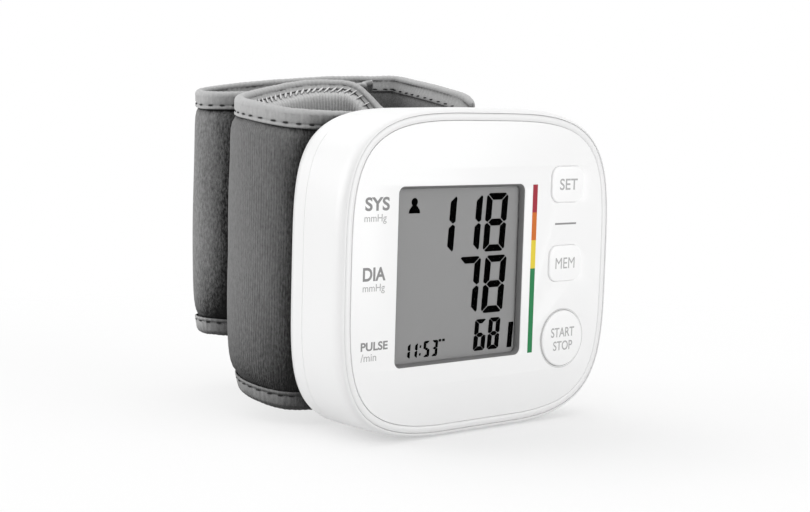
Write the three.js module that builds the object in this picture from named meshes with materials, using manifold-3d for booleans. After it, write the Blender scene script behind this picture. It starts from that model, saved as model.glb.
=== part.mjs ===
// Wrist blood pressure monitor, in millimetres. +Z is up and the display faces -Y.
// The origin is the middle of the housing's depth and width, on the surface that it stands on.
import * as THREE from 'three';
import * as BufferGeometryUtils from 'three/addons/utils/BufferGeometryUtils.js';
import Module from 'manifold-3d';

const wasm = await Module();
wasm.setup();

// Driving dimensions of the housing
const housingWidth = 86;
const housingHeight = 77.3;
const housingDepth = 25;
const outlinePower = 3.8;
const rearPower = 4.4;
const sideDraft = 2.25;
const topDraft = 0.8;
const outlineSteps = 48;
const footFlat = 0.12;
const wall = 1.8;
const rearWall = 1.8;
const frontEdge = 1;
const frontEdgeDepth = 3;
const rearEdge = 5.6;
const splitFromBack = 9;
const gap = 0.3;
const overrun = 1;

// Driving dimensions of the front
const panelThickness = 1;
const trimWidth = 1.4;
const displayCorner = 1.7;
const displayLeftMargin = 16.04;
const displayRightMargin = 30.44;
const displayFootMargin = 17.475;
const displayTopMargin = 18.055;
const windowMargin = 1.3;
const windowThickness = 0.9;
const glassThickness = 1.7;
const frameRim = 1.4;
const frameLedge = 2.4;

// Driving dimensions of the keys
const keyColumnFromSide = 16.1;
const keyWidth = 10.6;
const keyHeight = 8.5;
const keyCorner = 2.4;
const keyProud = 0.4;
const setKeyRise = 20.15;
const memKeyRise = 0.55;
const startKeyRise = -18.28;
const startKeyRadius = 6.9;
const keyFlange = 1;
const keyFlangeThickness = 0.8;
const keyStemRadius = 1.5;
const keyStemLength = 1;
const domeHeight = 1.4;
const domeRadius = 3;
const domeCrownShare = 0.6;
const keyMatThickness = 0.8;
const keyMatMargin = 3;

// Driving dimensions of the board and what sits on it
const boardThickness = 1.6;
const boardInset = 4.6;
const boardFromFront = 8.7;
const chipSize = 8;
const chipThickness = 1;
const buzzerRadius = 4.8;
const buzzerHeight = 3;
const sensorSize = 7.5;
const sensorHeight = 4;
const zebraHeight = 2;

// Driving dimensions of the air system
const motorRadius = 6;
const motorLength = 18;
const motorFromSide = 12.5;
const motorY = 4.2;
const pumpHeadLength = 12;
const pumpPortRise = 2.7;
const rotorRadius = 3;
const rotorThickness = 2;
const rotorThrow = 0.8;
const shaftRadius = 1;
const shaftLength = 6;
const nippleRadius = 0.9;
const nippleLength = 2.4;
const tubeRadius = 2;
const tubeBore = 1.2;
const manifoldWidth = 10;
const manifoldHeight = 12;
const manifoldDepth = 6;
const manifoldX = -6;
const airLineRise = 3.35;
const airLineY = 6.2;
const valveSize = 8.4;
const valveLength = 12;
const valveFootZ = 12;
const plungerRadius = 1.8;
const plungerLength = 8;
const plungerTravel = 0.7;
const nozzleRadius = 2.2;
const nozzleBore = 1.2;

// Driving dimensions of the batteries, their bay and its door
const batteryRadius = 5.15;
const batteryLength = 43.3;
const batteryNubRadius = 1.9;
const batteryNubLength = 0.9;
const bayWall = 0.9;
const bayFromSide = 6.1;
const springRoom = 3.4;
const contactThickness = 0.4;
const contactShare = 0.6;
const doorThickness = 1.5;
const doorMargin = 1.3;
const gripDepth = 0.5;
const gripWidth = 1.2;
const gripPitch = 2.6;
const gripCount = 3;
const gripHalf = 8.5;

// Driving dimensions of the screws and their bosses
const bossRadius = 2.6;
const screwRadius = 0.8;
const screwHeadRadius = 1.8;
const screwHeadThickness = 1;

// Driving dimensions of the cuff
const coverThickness = 1;
const stiffenerThickness = 0.9;
const bladderThickness = 0.9;
const liningThickness = 0.9;
const strapThickness = 2.6;
const bindingWidth = 4.7;
const bindingThickness = 0.7;
const loopBulge = 2.4;
const cuffTaper = 1.4;
const strapBulge = 1.6;
const hookThickness = 1;
const retainerWidth = 34;
const retainerHeight = 40;
const retainerPegRadius = 1.6;
const stiffenerShare = 0.27;
const bladderEnds = 2;
const hookShare = 0.88;
const hookBulgeShare = 0.6;

// Places that follow from the driving dimensions
const front = -housingDepth / 2;
const back = housingDepth / 2;
const middleZ = housingHeight / 2;
const split = back - splitFromBack;
const panelBack = front + panelThickness;
const plateFront = panelBack + gap;
const plateBack = plateFront + wall;
const displayWidth = housingWidth - displayLeftMargin - displayRightMargin;
const displayHeight = housingHeight - footFlat - displayFootMargin - displayTopMargin;
const displayX = (displayLeftMargin - displayRightMargin) / 2;
const displayZ = displayFootMargin + displayHeight / 2;
const keyColumnX = housingWidth / 2 - keyColumnFromSide;
const airLineZ = middleZ + airLineRise;
const motorX = motorFromSide - housingWidth / 2;
const motorFootZ = airLineZ - rotorThickness - pumpPortRise - gap - motorLength;
const boardFront = front + boardFromFront;
const boardBack = boardFront + boardThickness;
const rearInside = back - rearWall;

const colours = {
  white: 0xf4f4f4, key: 0xf8f8f8, ring: 0xe2e2e2, lcd: 0x969696, clear: 0xd8dde0, board: 0x1f6b3a,
  black: 0x1d1d1f, metal: 0xb9bcc0, brass: 0xb08d4a, rubber: 0xcfcac2, cloth: 0x5f6062, binding: 0xa9aaac,
  lining: 0xb4b5b6, bladder: 0x6f7880, wrap: 0x3c6f9c,
};

const finish = (colour, roughness = 0.6, metalness = 0) =>
  new THREE.MeshStandardMaterial({ color: colour, roughness, metalness });

const mergeReach = 1e-4;

// Turns a closed geometry into a solid that can be joined and cut.
function solid(geometry) {
  const bare = geometry.clone();
  bare.deleteAttribute('normal');
  bare.deleteAttribute('uv');
  const merged = BufferGeometryUtils.mergeVertices(bare, mergeReach);
  return new wasm.Manifold(new wasm.Mesh({
    numProp: 3,
    vertProperties: new Float32Array(merged.attributes.position.array),
    triVerts: new Uint32Array(merged.index.array),
  }));
}

// Turns a solid, or a plain geometry, into a named mesh.
function part(name, shape, material) {
  let geometry = shape;
  if (!shape.isBufferGeometry) {
    const mesh = shape.getMesh();
    geometry = new THREE.BufferGeometry();
    geometry.setAttribute('position', new THREE.BufferAttribute(new Float32Array(mesh.vertProperties), 3));
    geometry.setIndex(new THREE.BufferAttribute(new Uint32Array(mesh.triVerts), 1));
    geometry.computeVertexNormals();
  }
  const made = new THREE.Mesh(geometry, material);
  made.name = name;
  return made;
}

// Closed skin through rings of points that all have the same count, with flat ends.
function skin(rings) {
  const count = rings[0].length;
  const places = rings.flat().flatMap(p => [p.x, p.y, p.z]);
  const faces = [];
  for (let i = 0; i < rings.length - 1; i++) {
    const here = i * count;
    const next = here + count;
    for (let j = 0; j < count; j++) {
      const k = (j + 1) % count;
      faces.push(here + j, here + k, next + k, here + j, next + k, next + j);
    }
  }
  for (const [ring, flip] of [[0, true], [rings.length - 1, false]]) {
    for (const [a, b, c] of flatEnd(rings[ring])) {
      const corners = [a, b, c].map(i => ring * count + i);
      faces.push(...(flip ? corners.reverse() : corners));
    }
  }
  if (volume(places, faces) < 0) faces.reverse();
  const geometry = new THREE.BufferGeometry();
  geometry.setAttribute('position', new THREE.Float32BufferAttribute(places, 3));
  geometry.setIndex(faces);
  geometry.computeVertexNormals();
  return geometry;
}

// Triangles of a flat ring of points, wound as the ring is.
function flatEnd(ring) {
  const [o, a] = ring;
  const along = a.clone().sub(o).normalize();
  const normal = new THREE.Vector3();
  ring.forEach((p, i) => normal.add(p.clone().sub(o).cross(ring[(i + 1) % ring.length].clone().sub(o))));
  const across = normal.normalize().clone().cross(along);
  const flat = ring.map(p => new THREE.Vector2(p.clone().sub(o).dot(along), p.clone().sub(o).dot(across)));
  return THREE.ShapeUtils.triangulateShape(flat, []);
}

// Six times the volume inside the faces; it is negative when they point in.
function volume(places, faces) {
  const point = i => new THREE.Vector3(places[3 * i], places[3 * i + 1], places[3 * i + 2]);
  let sum = 0;
  for (let i = 0; i < faces.length; i += 3) {
    sum += point(faces[i]).dot(point(faces[i + 1]).cross(point(faces[i + 2])));
  }
  return sum;
}

function box(x0, x1, y0, y1, z0, z1) {
  const geometry = new THREE.BoxGeometry(x1 - x0, y1 - y0, z1 - z0);
  return geometry.translate((x0 + x1) / 2, (y0 + y1) / 2, (z0 + z1) / 2);
}

// Round bar along Y from y0 to y1; its radius may change from r0 to r1.
function roundY(x, z, y0, y1, r0, r1 = r0, sides = 16) {
  return new THREE.CylinderGeometry(r1, r0, y1 - y0, sides).translate(x, (y0 + y1) / 2, z);
}

function roundZ(x, y, z0, z1, r0, r1 = r0, sides = 20) {
  const geometry = new THREE.CylinderGeometry(r1, r0, z1 - z0, sides).rotateX(Math.PI / 2);
  return geometry.translate(x, y, (z0 + z1) / 2);
}

function roundX(y, z, x0, x1, r, sides = 12) {
  const geometry = new THREE.CylinderGeometry(r, r, x1 - x0, sides).rotateZ(-Math.PI / 2);
  return geometry.translate((x0 + x1) / 2, y, z);
}

// Upright block with rounded corners in its X-Z outline, from y0 back to y1.
function roundedBlock(x, z, width, height, corner, y0, y1, steps = 4) {
  const shape = new THREE.Shape();
  const w = width / 2;
  const h = height / 2;
  shape.moveTo(-w + corner, -h);
  shape.lineTo(w - corner, -h);
  shape.absarc(w - corner, -h + corner, corner, -Math.PI / 2, 0);
  shape.lineTo(w, h - corner);
  shape.absarc(w - corner, h - corner, corner, 0, Math.PI / 2);
  shape.lineTo(-w + corner, h);
  shape.absarc(-w + corner, h - corner, corner, Math.PI / 2, Math.PI);
  shape.lineTo(-w, -h + corner);
  shape.absarc(-w + corner, -h + corner, corner, Math.PI, Math.PI * 1.5);
  const options = { depth: y1 - y0, bevelEnabled: false, curveSegments: steps };
  return new THREE.ExtrudeGeometry(shape, options).rotateX(Math.PI / 2).translate(x, y1, z);
}

// The housing's outline: a superellipse moved in by inset along its normal, cut flat at the foot. From the
// front edge's round to the back it gets squarer, and the draft draws in its sides and top.
function outline(inset, y) {
  const share = Math.max(0, y - front - frontEdgeDepth) / (housingDepth - frontEdgeDepth);
  const power = outlinePower + (rearPower - outlinePower) * share;
  const a = housingWidth / 2 - sideDraft * share;
  const b = (housingHeight - topDraft * share) / 2;
  const points = [];
  for (let i = 0; i < outlineSteps; i++) {
    const angle = (i / outlineSteps) * Math.PI * 2;
    const c = Math.cos(angle);
    const s = Math.sin(angle);
    const x = a * Math.sign(c) * Math.abs(c) ** (2 / power);
    const z = b * Math.sign(s) * Math.abs(s) ** (2 / power);
    const nx = Math.sign(x) * Math.abs(x / a) ** (power - 1) / a;
    const nz = Math.sign(z) * Math.abs(z / b) ** (power - 1) / b;
    const length = Math.hypot(nx, nz);
    const foot = -b + footFlat + inset;
    points.push(new THREE.Vector3(x - inset * nx / length, y,
      b - footFlat + Math.max(z - inset * nz / length, foot)));
  }
  return points;
}

// Stack of outlines: each row is [inset, y].
const slab = rows => skin(rows.map(([inset, y]) => outline(inset, y)));

// Rows of a quarter ellipse that ends at y1, from no inset to inset radius, over that depth.
function quarterRound(radius, y1, steps, start = 0, depth = radius) {
  const rows = [];
  for (let i = 0; i <= steps; i++) {
    const angle = (i / steps) * Math.PI / 2;
    rows.push([start + radius * (1 - Math.cos(angle)), y1 - depth + depth * Math.sin(angle)]);
  }
  return rows;
}

const frontRound = quarterRound(frontEdge, -front, 4, 0, frontEdgeDepth)
  .map(([inset, y]) => [inset, -y]).reverse();
const keys = [
  { name: 'set', z: middleZ + setKeyRise, round: false },
  { name: 'mem', z: middleZ + memKeyRise, round: false },
  { name: 'start_stop', z: middleZ + startKeyRise, round: true },
];

// Bar with a key's outline, grown by some margin.
function keyBar(key, margin, y0, y1) {
  const radius = startKeyRadius + margin;
  if (key.round) return roundY(keyColumnX, key.z, y0, y1, radius, radius, 32);
  return roundedBlock(keyColumnX, key.z, keyWidth + 2 * margin, keyHeight + 2 * margin,
    keyCorner + margin, y0, y1);
}

// Battery bay, centred on the housing's height
const bayLength = batteryLength + batteryNubLength + springRoom + 2 * contactThickness;
const bayRight = housingWidth / 2 - bayFromSide;
const bayLeft = bayRight - 4 * batteryRadius - 3 * gap;
const bayFoot = middleZ - bayLength / 2;
const bayTop = bayFoot + bayLength;
const batteryX = [bayLeft + gap + batteryRadius, bayRight - gap - batteryRadius];
const bayFloor = back - doorThickness - 2 * gap - 2 * batteryRadius - gap;
const batteryY = bayFloor + gap + batteryRadius;
const besideBay = bayLeft - bayWall - gap;

// Screws stand just clear of the display's frame, on the left beside the pump, on the right beside the bay.
const screwReach = displayHeight / 2 + windowMargin + 2 * gap + frameRim + bossRadius;
const screwColumns = [motorX + motorRadius + gap + bossRadius, besideBay - bossRadius];
const screwPlaces = screwColumns.flatMap(x => [[x, displayZ - screwReach], [x, displayZ + screwReach]]);

// Bar that clears a screw's shank, and a bar on the air nozzle's axis.
const screwBar = (x, z, y0, y1) => roundY(x, z, y0, y1, screwRadius + gap, screwRadius + gap, 12);
const nozzleBar = (y0, y1, radius) => roundY(manifoldX, airLineZ, y0, y1, radius);

const housing = new THREE.Group();
const cuff = new THREE.Group();

// Front case: a bucket with the display pocket, key holes, panel seat and four screw bosses
function frontCase() {
  let body = solid(slab([...frontRound, [0, split - gap / 2]]));
  body = body.subtract(solid(slab([[wall, plateBack], [wall, split + overrun]])));
  body = body.subtract(solid(slab([[frontEdge, front - overrun], [frontEdge, plateFront]])));
  body = body.subtract(solid(roundedBlock(displayX, displayZ, displayWidth + 2 * windowMargin + 2 * gap,
    displayHeight + 2 * windowMargin + 2 * gap, displayCorner, front, plateBack + overrun)));
  for (const key of keys) body = body.subtract(solid(keyBar(key, gap, front, plateBack + overrun)));
  const bossRoom = solid(slab([[wall / 2, front + frontEdge], [wall / 2, split - overrun],
    [wall + gap, split - overrun], ...quarterRound(rearEdge - wall, rearInside - gap, 3, wall + gap)]));
  for (const [x, z] of screwPlaces) {
    const boss = solid(roundY(x, z, plateBack - wall / 2, rearInside, bossRadius)).intersect(bossRoom);
    body = body.add(boss).subtract(solid(screwBar(x, z, plateBack + wall, rearInside)));
  }
  return body;
}
housing.add(part('front_case', frontCase(), finish(colours.white, 0.45)));

// Trim ring in its groove round the front panel
function trimRing() {
  const outer = frontEdge + gap;
  const inner = outer + trimWidth;
  return solid(slab([[outer, front], [outer, panelBack]]))
    .subtract(solid(slab([[inner, front - overrun], [inner, panelBack + overrun]])));
}
housing.add(part('trim_ring', trimRing(), finish(colours.ring, 0.35)));

// Front panel with the display opening and the key holes
function frontPanel() {
  const inset = frontEdge + 2 * gap + trimWidth;
  let panel = solid(slab([[inset, front], [inset, panelBack]]));
  panel = panel.subtract(solid(roundedBlock(displayX, displayZ, displayWidth, displayHeight, displayCorner,
    front - overrun, panelBack + overrun)));
  for (const key of keys) {
    panel = panel.subtract(solid(keyBar(key, gap, front - overrun, panelBack + overrun)));
  }
  return panel;
}
housing.add(part('front_panel', frontPanel(), finish(colours.white, 0.3)));

// Display window, glass, frame and zebra strip
const windowBack = plateFront + windowThickness;
const glassFront = windowBack + gap;
const glassBack = glassFront + glassThickness;
const glassWidth = displayWidth + 2 * windowMargin;
const glassHeight = displayHeight + 2 * windowMargin;
housing.add(part('display_window', roundedBlock(displayX, displayZ, glassWidth, glassHeight,
  displayCorner - gap, plateFront, windowBack), finish(colours.clear, 0.05)));
housing.add(part('lcd_glass', roundedBlock(displayX, displayZ, glassWidth, glassHeight, displayCorner - gap,
  glassFront, glassBack), finish(colours.lcd, 0.25)));

function lcdFrame() {
  const frameFront = plateBack + gap;
  let frame = solid(roundedBlock(displayX, displayZ, glassWidth + 2 * (gap + frameRim),
    glassHeight + 2 * (gap + frameRim), displayCorner, frameFront, boardFront - gap));
  frame = frame.subtract(solid(roundedBlock(displayX, displayZ, glassWidth + 2 * gap, glassHeight + 2 * gap,
    displayCorner, frameFront - overrun, glassBack + gap)));
  return frame.subtract(solid(roundedBlock(displayX, displayZ, glassWidth - 2 * frameLedge,
    glassHeight - 2 * frameLedge, displayCorner, frameFront - overrun, boardFront + overrun)));
}
housing.add(part('lcd_frame', lcdFrame(), finish(colours.white, 0.5)));
const zebraFoot = displayZ - glassHeight / 2 + frameLedge + gap;
const zebraHalf = glassWidth / 2 - 2 * frameLedge;
housing.add(part('zebra_strip', box(displayX - zebraHalf, displayX + zebraHalf, glassBack + gap,
  boardFront - gap, zebraFoot, zebraFoot + zebraHeight), finish(colours.rubber, 0.8)));

// Keys: a cap through the panel and the plate, a flange that holds it in, and a stem for its dome
function keyCap(key) {
  const flangeFront = plateBack + gap;
  const flangeBack = flangeFront + keyFlangeThickness;
  return solid(keyBar(key, 0, front - keyProud, flangeFront + keyFlangeThickness / 2))
    .add(solid(keyBar(key, keyFlange, flangeFront, flangeBack)))
    .add(solid(roundY(keyColumnX, key.z, flangeBack - keyFlangeThickness / 2, flangeBack + keyStemLength,
      keyStemRadius, keyStemRadius, 16)));
}
for (const key of keys) housing.add(part(`${key.name}_key`, keyCap(key), finish(colours.key, 0.4)));

// Key mat with a rubber dome under each stem
function keyMat() {
  const matBack = boardFront - gap;
  const matFront = matBack - keyMatThickness;
  const low = keys[2].z - startKeyRadius;
  const high = keys[0].z + keyHeight / 2;
  let mat = solid(roundedBlock(keyColumnX, (low + high) / 2, 2 * (domeRadius + keyMatMargin), high - low,
    keyCorner, matFront, matBack));
  for (const key of keys) {
    mat = mat.add(solid(roundY(keyColumnX, key.z, matFront - domeHeight, matFront + keyMatThickness / 2,
      domeRadius * domeCrownShare, domeRadius)));
  }
  return mat;
}
housing.add(part('key_mat', keyMat(), finish(colours.rubber, 0.8)));

// Circuit board, cut round the bosses, with what is soldered to its back
function mainBoard() {
  let board = solid(slab([[boardInset, boardFront], [boardInset, boardBack]]));
  for (const [x, z] of screwPlaces) {
    board = board.subtract(solid(roundY(x, z, boardFront - overrun, boardBack + overrun, bossRadius + gap)));
  }
  return board;
}
housing.add(part('main_board', mainBoard(), finish(colours.board, 0.5)));
const onBoard = boardBack + gap;
const chipTop = airLineZ + sensorSize / 2 + nippleLength + chipSize;
housing.add(part('controller_chip', box(besideBay - chipSize, besideBay, onBoard, onBoard + chipThickness,
  chipTop - chipSize, chipTop), finish(colours.black, 0.5)));
const buzzerZ = valveFootZ + valveLength;
housing.add(part('buzzer', roundY(besideBay - buzzerRadius, buzzerZ, onBoard, onBoard + buzzerHeight,
  buzzerRadius), finish(colours.black, 0.4)));

// Pump: motor can, head with its chamber, and the rotor that turns in both
const headFoot = motorFootZ + motorLength + gap;
const headTop = headFoot + pumpHeadLength;
const pumpLineZ = airLineZ - rotorThickness;
function pumpMotor() {
  const top = motorFootZ + motorLength;
  const can = solid(roundZ(motorX, motorY, motorFootZ, top, motorRadius, motorRadius, 32));
  return can.subtract(solid(roundZ(motorX, motorY, top - shaftLength / 2, top + overrun, shaftRadius + gap,
    shaftRadius + gap, 16)));
}
function pumpHead() {
  let head = solid(box(motorX - motorRadius, motorX + motorRadius, motorY - motorRadius, motorY + motorRadius,
    headFoot, headTop));
  head = head.subtract(solid(roundZ(motorX, motorY, headFoot - overrun, headTop - wall,
    rotorRadius + rotorThrow + gap)));
  const side = motorX + motorRadius;
  return head
    .add(solid(roundX(airLineY, pumpLineZ, side - overrun / 2, side + nippleLength, nippleRadius)))
    .subtract(solid(roundX(airLineY, pumpLineZ, motorX, side + nippleLength + overrun, nippleRadius / 2, 8)));
}
function pumpRotor() {
  const discFoot = headFoot + rotorThickness;
  const shaftFoot = motorFootZ + motorLength - shaftLength / 2 + gap;
  return solid(roundZ(motorX, motorY, shaftFoot, discFoot + rotorThickness / 2, shaftRadius, shaftRadius, 16))
    .add(solid(roundZ(motorX + rotorThrow, motorY, discFoot, discFoot + rotorThickness, rotorRadius)));
}
housing.add(part('pump_motor', pumpMotor(), finish(colours.metal, 0.35, 0.9)));
housing.add(part('pump_head', pumpHead(), finish(colours.black, 0.5)));
housing.add(part('pump_rotor', pumpRotor(), finish(colours.brass, 0.4, 0.6)));

// Exhaust valve and its plunger
function exhaustValve() {
  const half = valveSize / 2;
  const top = valveFootZ + valveLength;
  const well = valveFootZ + plungerLength + plungerTravel + gap;
  const vent = nippleRadius / 2;
  return solid(box(manifoldX - half, manifoldX + half, airLineY - half, airLineY + half, valveFootZ, top))
    .add(solid(roundZ(manifoldX, airLineY, top - overrun / 2, top + nippleLength, nippleRadius, nippleRadius,
      16)))
    .subtract(solid(roundZ(manifoldX, airLineY, valveFootZ - overrun, well, plungerRadius + gap)))
    .subtract(solid(roundZ(manifoldX, airLineY, valveFootZ, top + nippleLength + overrun, vent, vent, 8)));
}
housing.add(part('exhaust_valve', exhaustValve(), finish(colours.metal, 0.4, 0.8)));
housing.add(part('valve_plunger', roundZ(manifoldX, airLineY, valveFootZ - plungerTravel,
  valveFootZ - plungerTravel + plungerLength, plungerRadius), finish(colours.metal, 0.3, 0.9)));

// Air manifold: a block whose four ports meet in the middle
const manifoldLeft = manifoldX - manifoldWidth / 2;
const manifoldRight = manifoldX + manifoldWidth / 2;
const manifoldFoot = airLineZ - manifoldHeight / 2;
const manifoldBack = airLineY + manifoldDepth / 2;
function airManifold() {
  return solid(box(manifoldLeft, manifoldRight, airLineY - manifoldDepth / 2, manifoldBack,
    manifoldFoot, manifoldFoot + manifoldHeight))
    .subtract(solid(roundX(airLineY, pumpLineZ, manifoldLeft - overrun, manifoldX, tubeBore, 12)))
    .subtract(solid(roundX(airLineY, airLineZ, manifoldX, manifoldRight + overrun, tubeBore, 12)))
    .subtract(solid(roundZ(manifoldX, airLineY, manifoldFoot - overrun, airLineZ, tubeBore, tubeBore, 12)))
    .subtract(solid(roundY(manifoldX, airLineZ, airLineY, manifoldBack + overrun, tubeBore, tubeBore, 12)));
}
housing.add(part('air_manifold', airManifold(), finish(colours.white, 0.5)));

// Soft tube along a route
function tube(route, steps) {
  const section = new THREE.Shape().absarc(0, 0, tubeRadius, 0, Math.PI * 2);
  section.holes.push(new THREE.Path().absarc(0, 0, tubeBore, 0, Math.PI * 2, true));
  const options = { steps, curveSegments: 5, extrudePath: route, bevelEnabled: false };
  return new THREE.ExtrudeGeometry(section, options);
}
const at = (x, y, z) => new THREE.Vector3(x, y, z);
housing.add(part('pump_tube', tube(new THREE.LineCurve3(
  at(motorX + motorRadius + gap, airLineY, pumpLineZ), at(manifoldLeft - gap, airLineY, pumpLineZ)), 2),
  finish(colours.rubber, 0.7)));
housing.add(part('valve_tube', tube(new THREE.LineCurve3(
  at(manifoldX, airLineY, valveFootZ + valveLength + gap), at(manifoldX, airLineY, manifoldFoot - gap)), 3),
  finish(colours.rubber, 0.7)));

// Pressure sensor on the board, with its nipple and tube
const sensorX = besideBay - sensorSize / 2;
const sensorBack = onBoard + sensorHeight;
function pressureSensor() {
  return solid(box(sensorX - sensorSize / 2, sensorX + sensorSize / 2, onBoard, sensorBack,
    airLineZ - sensorSize / 2, airLineZ + sensorSize / 2))
    .add(solid(roundY(sensorX, airLineZ, sensorBack - overrun / 2, sensorBack + nippleLength / 2,
      nippleRadius, nippleRadius, 12)));
}
housing.add(part('pressure_sensor', pressureSensor(), finish(colours.black, 0.5)));
const sensorRoute = new THREE.CubicBezierCurve3(at(manifoldRight + gap, airLineY, airLineZ),
  at(sensorX - tubeRadius, airLineY, airLineZ), at(sensorX, airLineY, airLineZ),
  at(sensorX, sensorBack + gap, airLineZ));
housing.add(part('sensor_tube', tube(sensorRoute, 8), finish(colours.rubber, 0.7)));

// Rear case: rounded back, locating lip, battery bay, screw holes and the cuff's fixings
const rearCavity = [[wall, split - overrun], ...quarterRound(rearEdge - wall, rearInside, 3, wall)];
const doorLow = bayFoot - bayWall - doorMargin;
const doorHigh = bayTop + bayWall + doorMargin;
const doorLeft = bayLeft + gap;
const outside = housingWidth;
const pegShares = [[-0.3, -0.38], [0.3, -0.38], [-0.3, 0.38], [0.3, 0.38]];
const pegPlaces = pegShares.map(([sx, sz]) =>
  [manifoldX + sx * retainerWidth, airLineZ + sz * retainerHeight]);

function rearCase() {
  const lipInset = wall + gap;
  const lipFront = split - rearWall;
  let shell = solid(slab([[0, split + gap / 2], ...quarterRound(rearEdge, back, 4)]));
  shell = shell.subtract(solid(slab(rearCavity)));
  const lip = solid(slab([[lipInset, lipFront], [lipInset, rearInside - wall]]))
    .subtract(solid(slab([[lipInset + bayWall, lipFront - overrun], [lipInset + bayWall, rearInside]])));
  shell = shell.add(lip);
  shell = shell.subtract(solid(box(doorLeft - gap, outside, lipFront - overrun, back + overrun,
    doorLow - gap, doorHigh + gap)));
  const underDoor = doorThickness + gap;
  const room = solid(slab([[underDoor, bayFloor - 2 * bayWall],
    ...quarterRound(rearEdge - doorThickness, rearInside, 3, underDoor)]));
  let bay = solid(box(bayLeft - bayWall, bayRight + bayWall, bayFloor - bayWall, rearInside,
    bayFoot - bayWall, bayTop + bayWall)).intersect(room);
  bay = bay.add(solid(box(bayLeft - bayWall, bayLeft, bayFloor, back, bayFoot - bayWall, bayTop + bayWall))
    .subtract(solid(slab([[0, back - overrun / 4], [0, back + overrun]]))));
  bay = bay.subtract(solid(box(bayLeft, bayRight, bayFloor, back + overrun, bayFoot, bayTop)));
  shell = shell.add(bay);
  for (const [x, z] of screwPlaces) {
    const headSeat = roundY(x, z, back - screwHeadThickness - gap, back + overrun, screwHeadRadius + gap);
    shell = shell.subtract(solid(screwBar(x, z, rearInside - overrun, back + overrun)));
    shell = shell.subtract(solid(headSeat));
  }
  const pegRoom = retainerPegRadius + gap;
  for (const [x, z] of pegPlaces) {
    shell = shell.subtract(solid(roundY(x, z, rearInside - overrun, back + overrun, pegRoom)));
  }
  return shell.subtract(solid(nozzleBar(rearInside - overrun, back + overrun, nozzleRadius + gap)));
}
housing.add(part('rear_case', rearCase(), finish(colours.white, 0.5)));

// Battery door: the piece of the rounded back that slides off to the right, with finger grips
function batteryDoor() {
  let door = solid(slab([[0, split + gap / 2], ...quarterRound(rearEdge, back, 4)]));
  door = door.subtract(solid(slab([[doorThickness, split - overrun],
    ...quarterRound(rearEdge - doorThickness, back - doorThickness, 3, doorThickness)])));
  door = door.intersect(solid(box(doorLeft, outside, split, back + overrun, doorLow, doorHigh)));
  const gripLeft = bayRight - gripCount * gripPitch;
  for (let i = 0; i < gripCount; i++) {
    const x = gripLeft + i * gripPitch;
    door = door.subtract(solid(box(x, x + gripWidth, back - gripDepth, back + overrun,
      middleZ - gripHalf, middleZ + gripHalf)));
  }
  return door;
}
housing.add(part('battery_door', batteryDoor(), finish(colours.white, 0.5)));

// Batteries stand side by side, one of them upside down
const footPlateTop = bayFoot + gap / 2 + contactThickness;
const topPlateFoot = bayTop - gap / 2 - contactThickness;
const batteryReach = batteryLength + batteryNubLength;
function battery(x, upward) {
  const end = upward ? topPlateFoot - gap : footPlateTop + gap;
  const far = upward ? end - batteryReach : end + batteryReach;
  const shoulder = upward ? end - batteryNubLength : end + batteryNubLength;
  const sunk = upward ? shoulder - overrun : shoulder + overrun;
  const bar = (a, b, radius, sides) =>
    solid(roundZ(x, batteryY, Math.min(a, b), Math.max(a, b), radius, radius, sides));
  return bar(far, shoulder, batteryRadius, 32).add(bar(end, sunk, batteryNubRadius, 20));
}
housing.add(part('battery_left', battery(batteryX[0], true), finish(colours.wrap, 0.4, 0.3)));
housing.add(part('battery_right', battery(batteryX[1], false), finish(colours.wrap, 0.4, 0.3)));

// Contact plates at both ends of the bay, and a coil spring at each negative end
const plateHalf = batteryRadius * contactShare;
function contactPlate(foot) {
  return box(batteryX[0] - plateHalf, batteryX[1] + plateHalf, batteryY - plateHalf, batteryY + plateHalf,
    foot, foot + contactThickness);
}
housing.add(part('foot_contact', contactPlate(footPlateTop - contactThickness),
  finish(colours.metal, 0.3, 1)));
housing.add(part('top_contact', contactPlate(topPlateFoot), finish(colours.metal, 0.3, 1)));

class SpringRoute extends THREE.Curve {
  constructor(x, y, foot, length, radius, turns) {
    super();
    Object.assign(this, { x, y, foot, length, radius, turns });
  }
  getPoint(t) {
    const angle = t * this.turns * Math.PI * 2;
    return at(this.x + this.radius * Math.cos(angle), this.y + this.radius * Math.sin(angle),
      this.foot + t * this.length);
  }
}
const springWire = 0.3;
const springRadius = 2.6;
const springTurns = 2;
const springStations = 16;
const springSides = 2;
function contactSpring(x, foot, length) {
  const section = new THREE.Shape().absarc(0, 0, springWire, 0, Math.PI * 2);
  const extrudePath = new SpringRoute(x, batteryY, foot, length, springRadius, springTurns);
  return new THREE.ExtrudeGeometry(section, { steps: springStations, curveSegments: springSides,
    bevelEnabled: false, extrudePath });
}
const springLength = springRoom - gap - 2 * gap - 2 * springWire;
housing.add(part('foot_spring', contactSpring(batteryX[0], footPlateTop + gap + springWire, springLength),
  finish(colours.metal, 0.3, 1)));
housing.add(part('top_spring', contactSpring(batteryX[1],
  topPlateFoot - gap - springWire - springLength, springLength), finish(colours.metal, 0.3, 1)));

// Case screws, sunk in the back and threaded into the bosses
screwPlaces.forEach(([x, z], i) => {
  const sunk = back - screwHeadThickness / 2;
  const shank = roundY(x, z, plateBack + wall + gap, sunk, screwRadius, screwRadius, 12);
  const head = roundY(x, z, back - screwHeadThickness, back, screwHeadRadius, screwHeadRadius, 16);
  housing.add(part(`case_screw_${i + 1}`, solid(shank).add(solid(head)), finish(colours.metal, 0.35, 1)));
});

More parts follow.
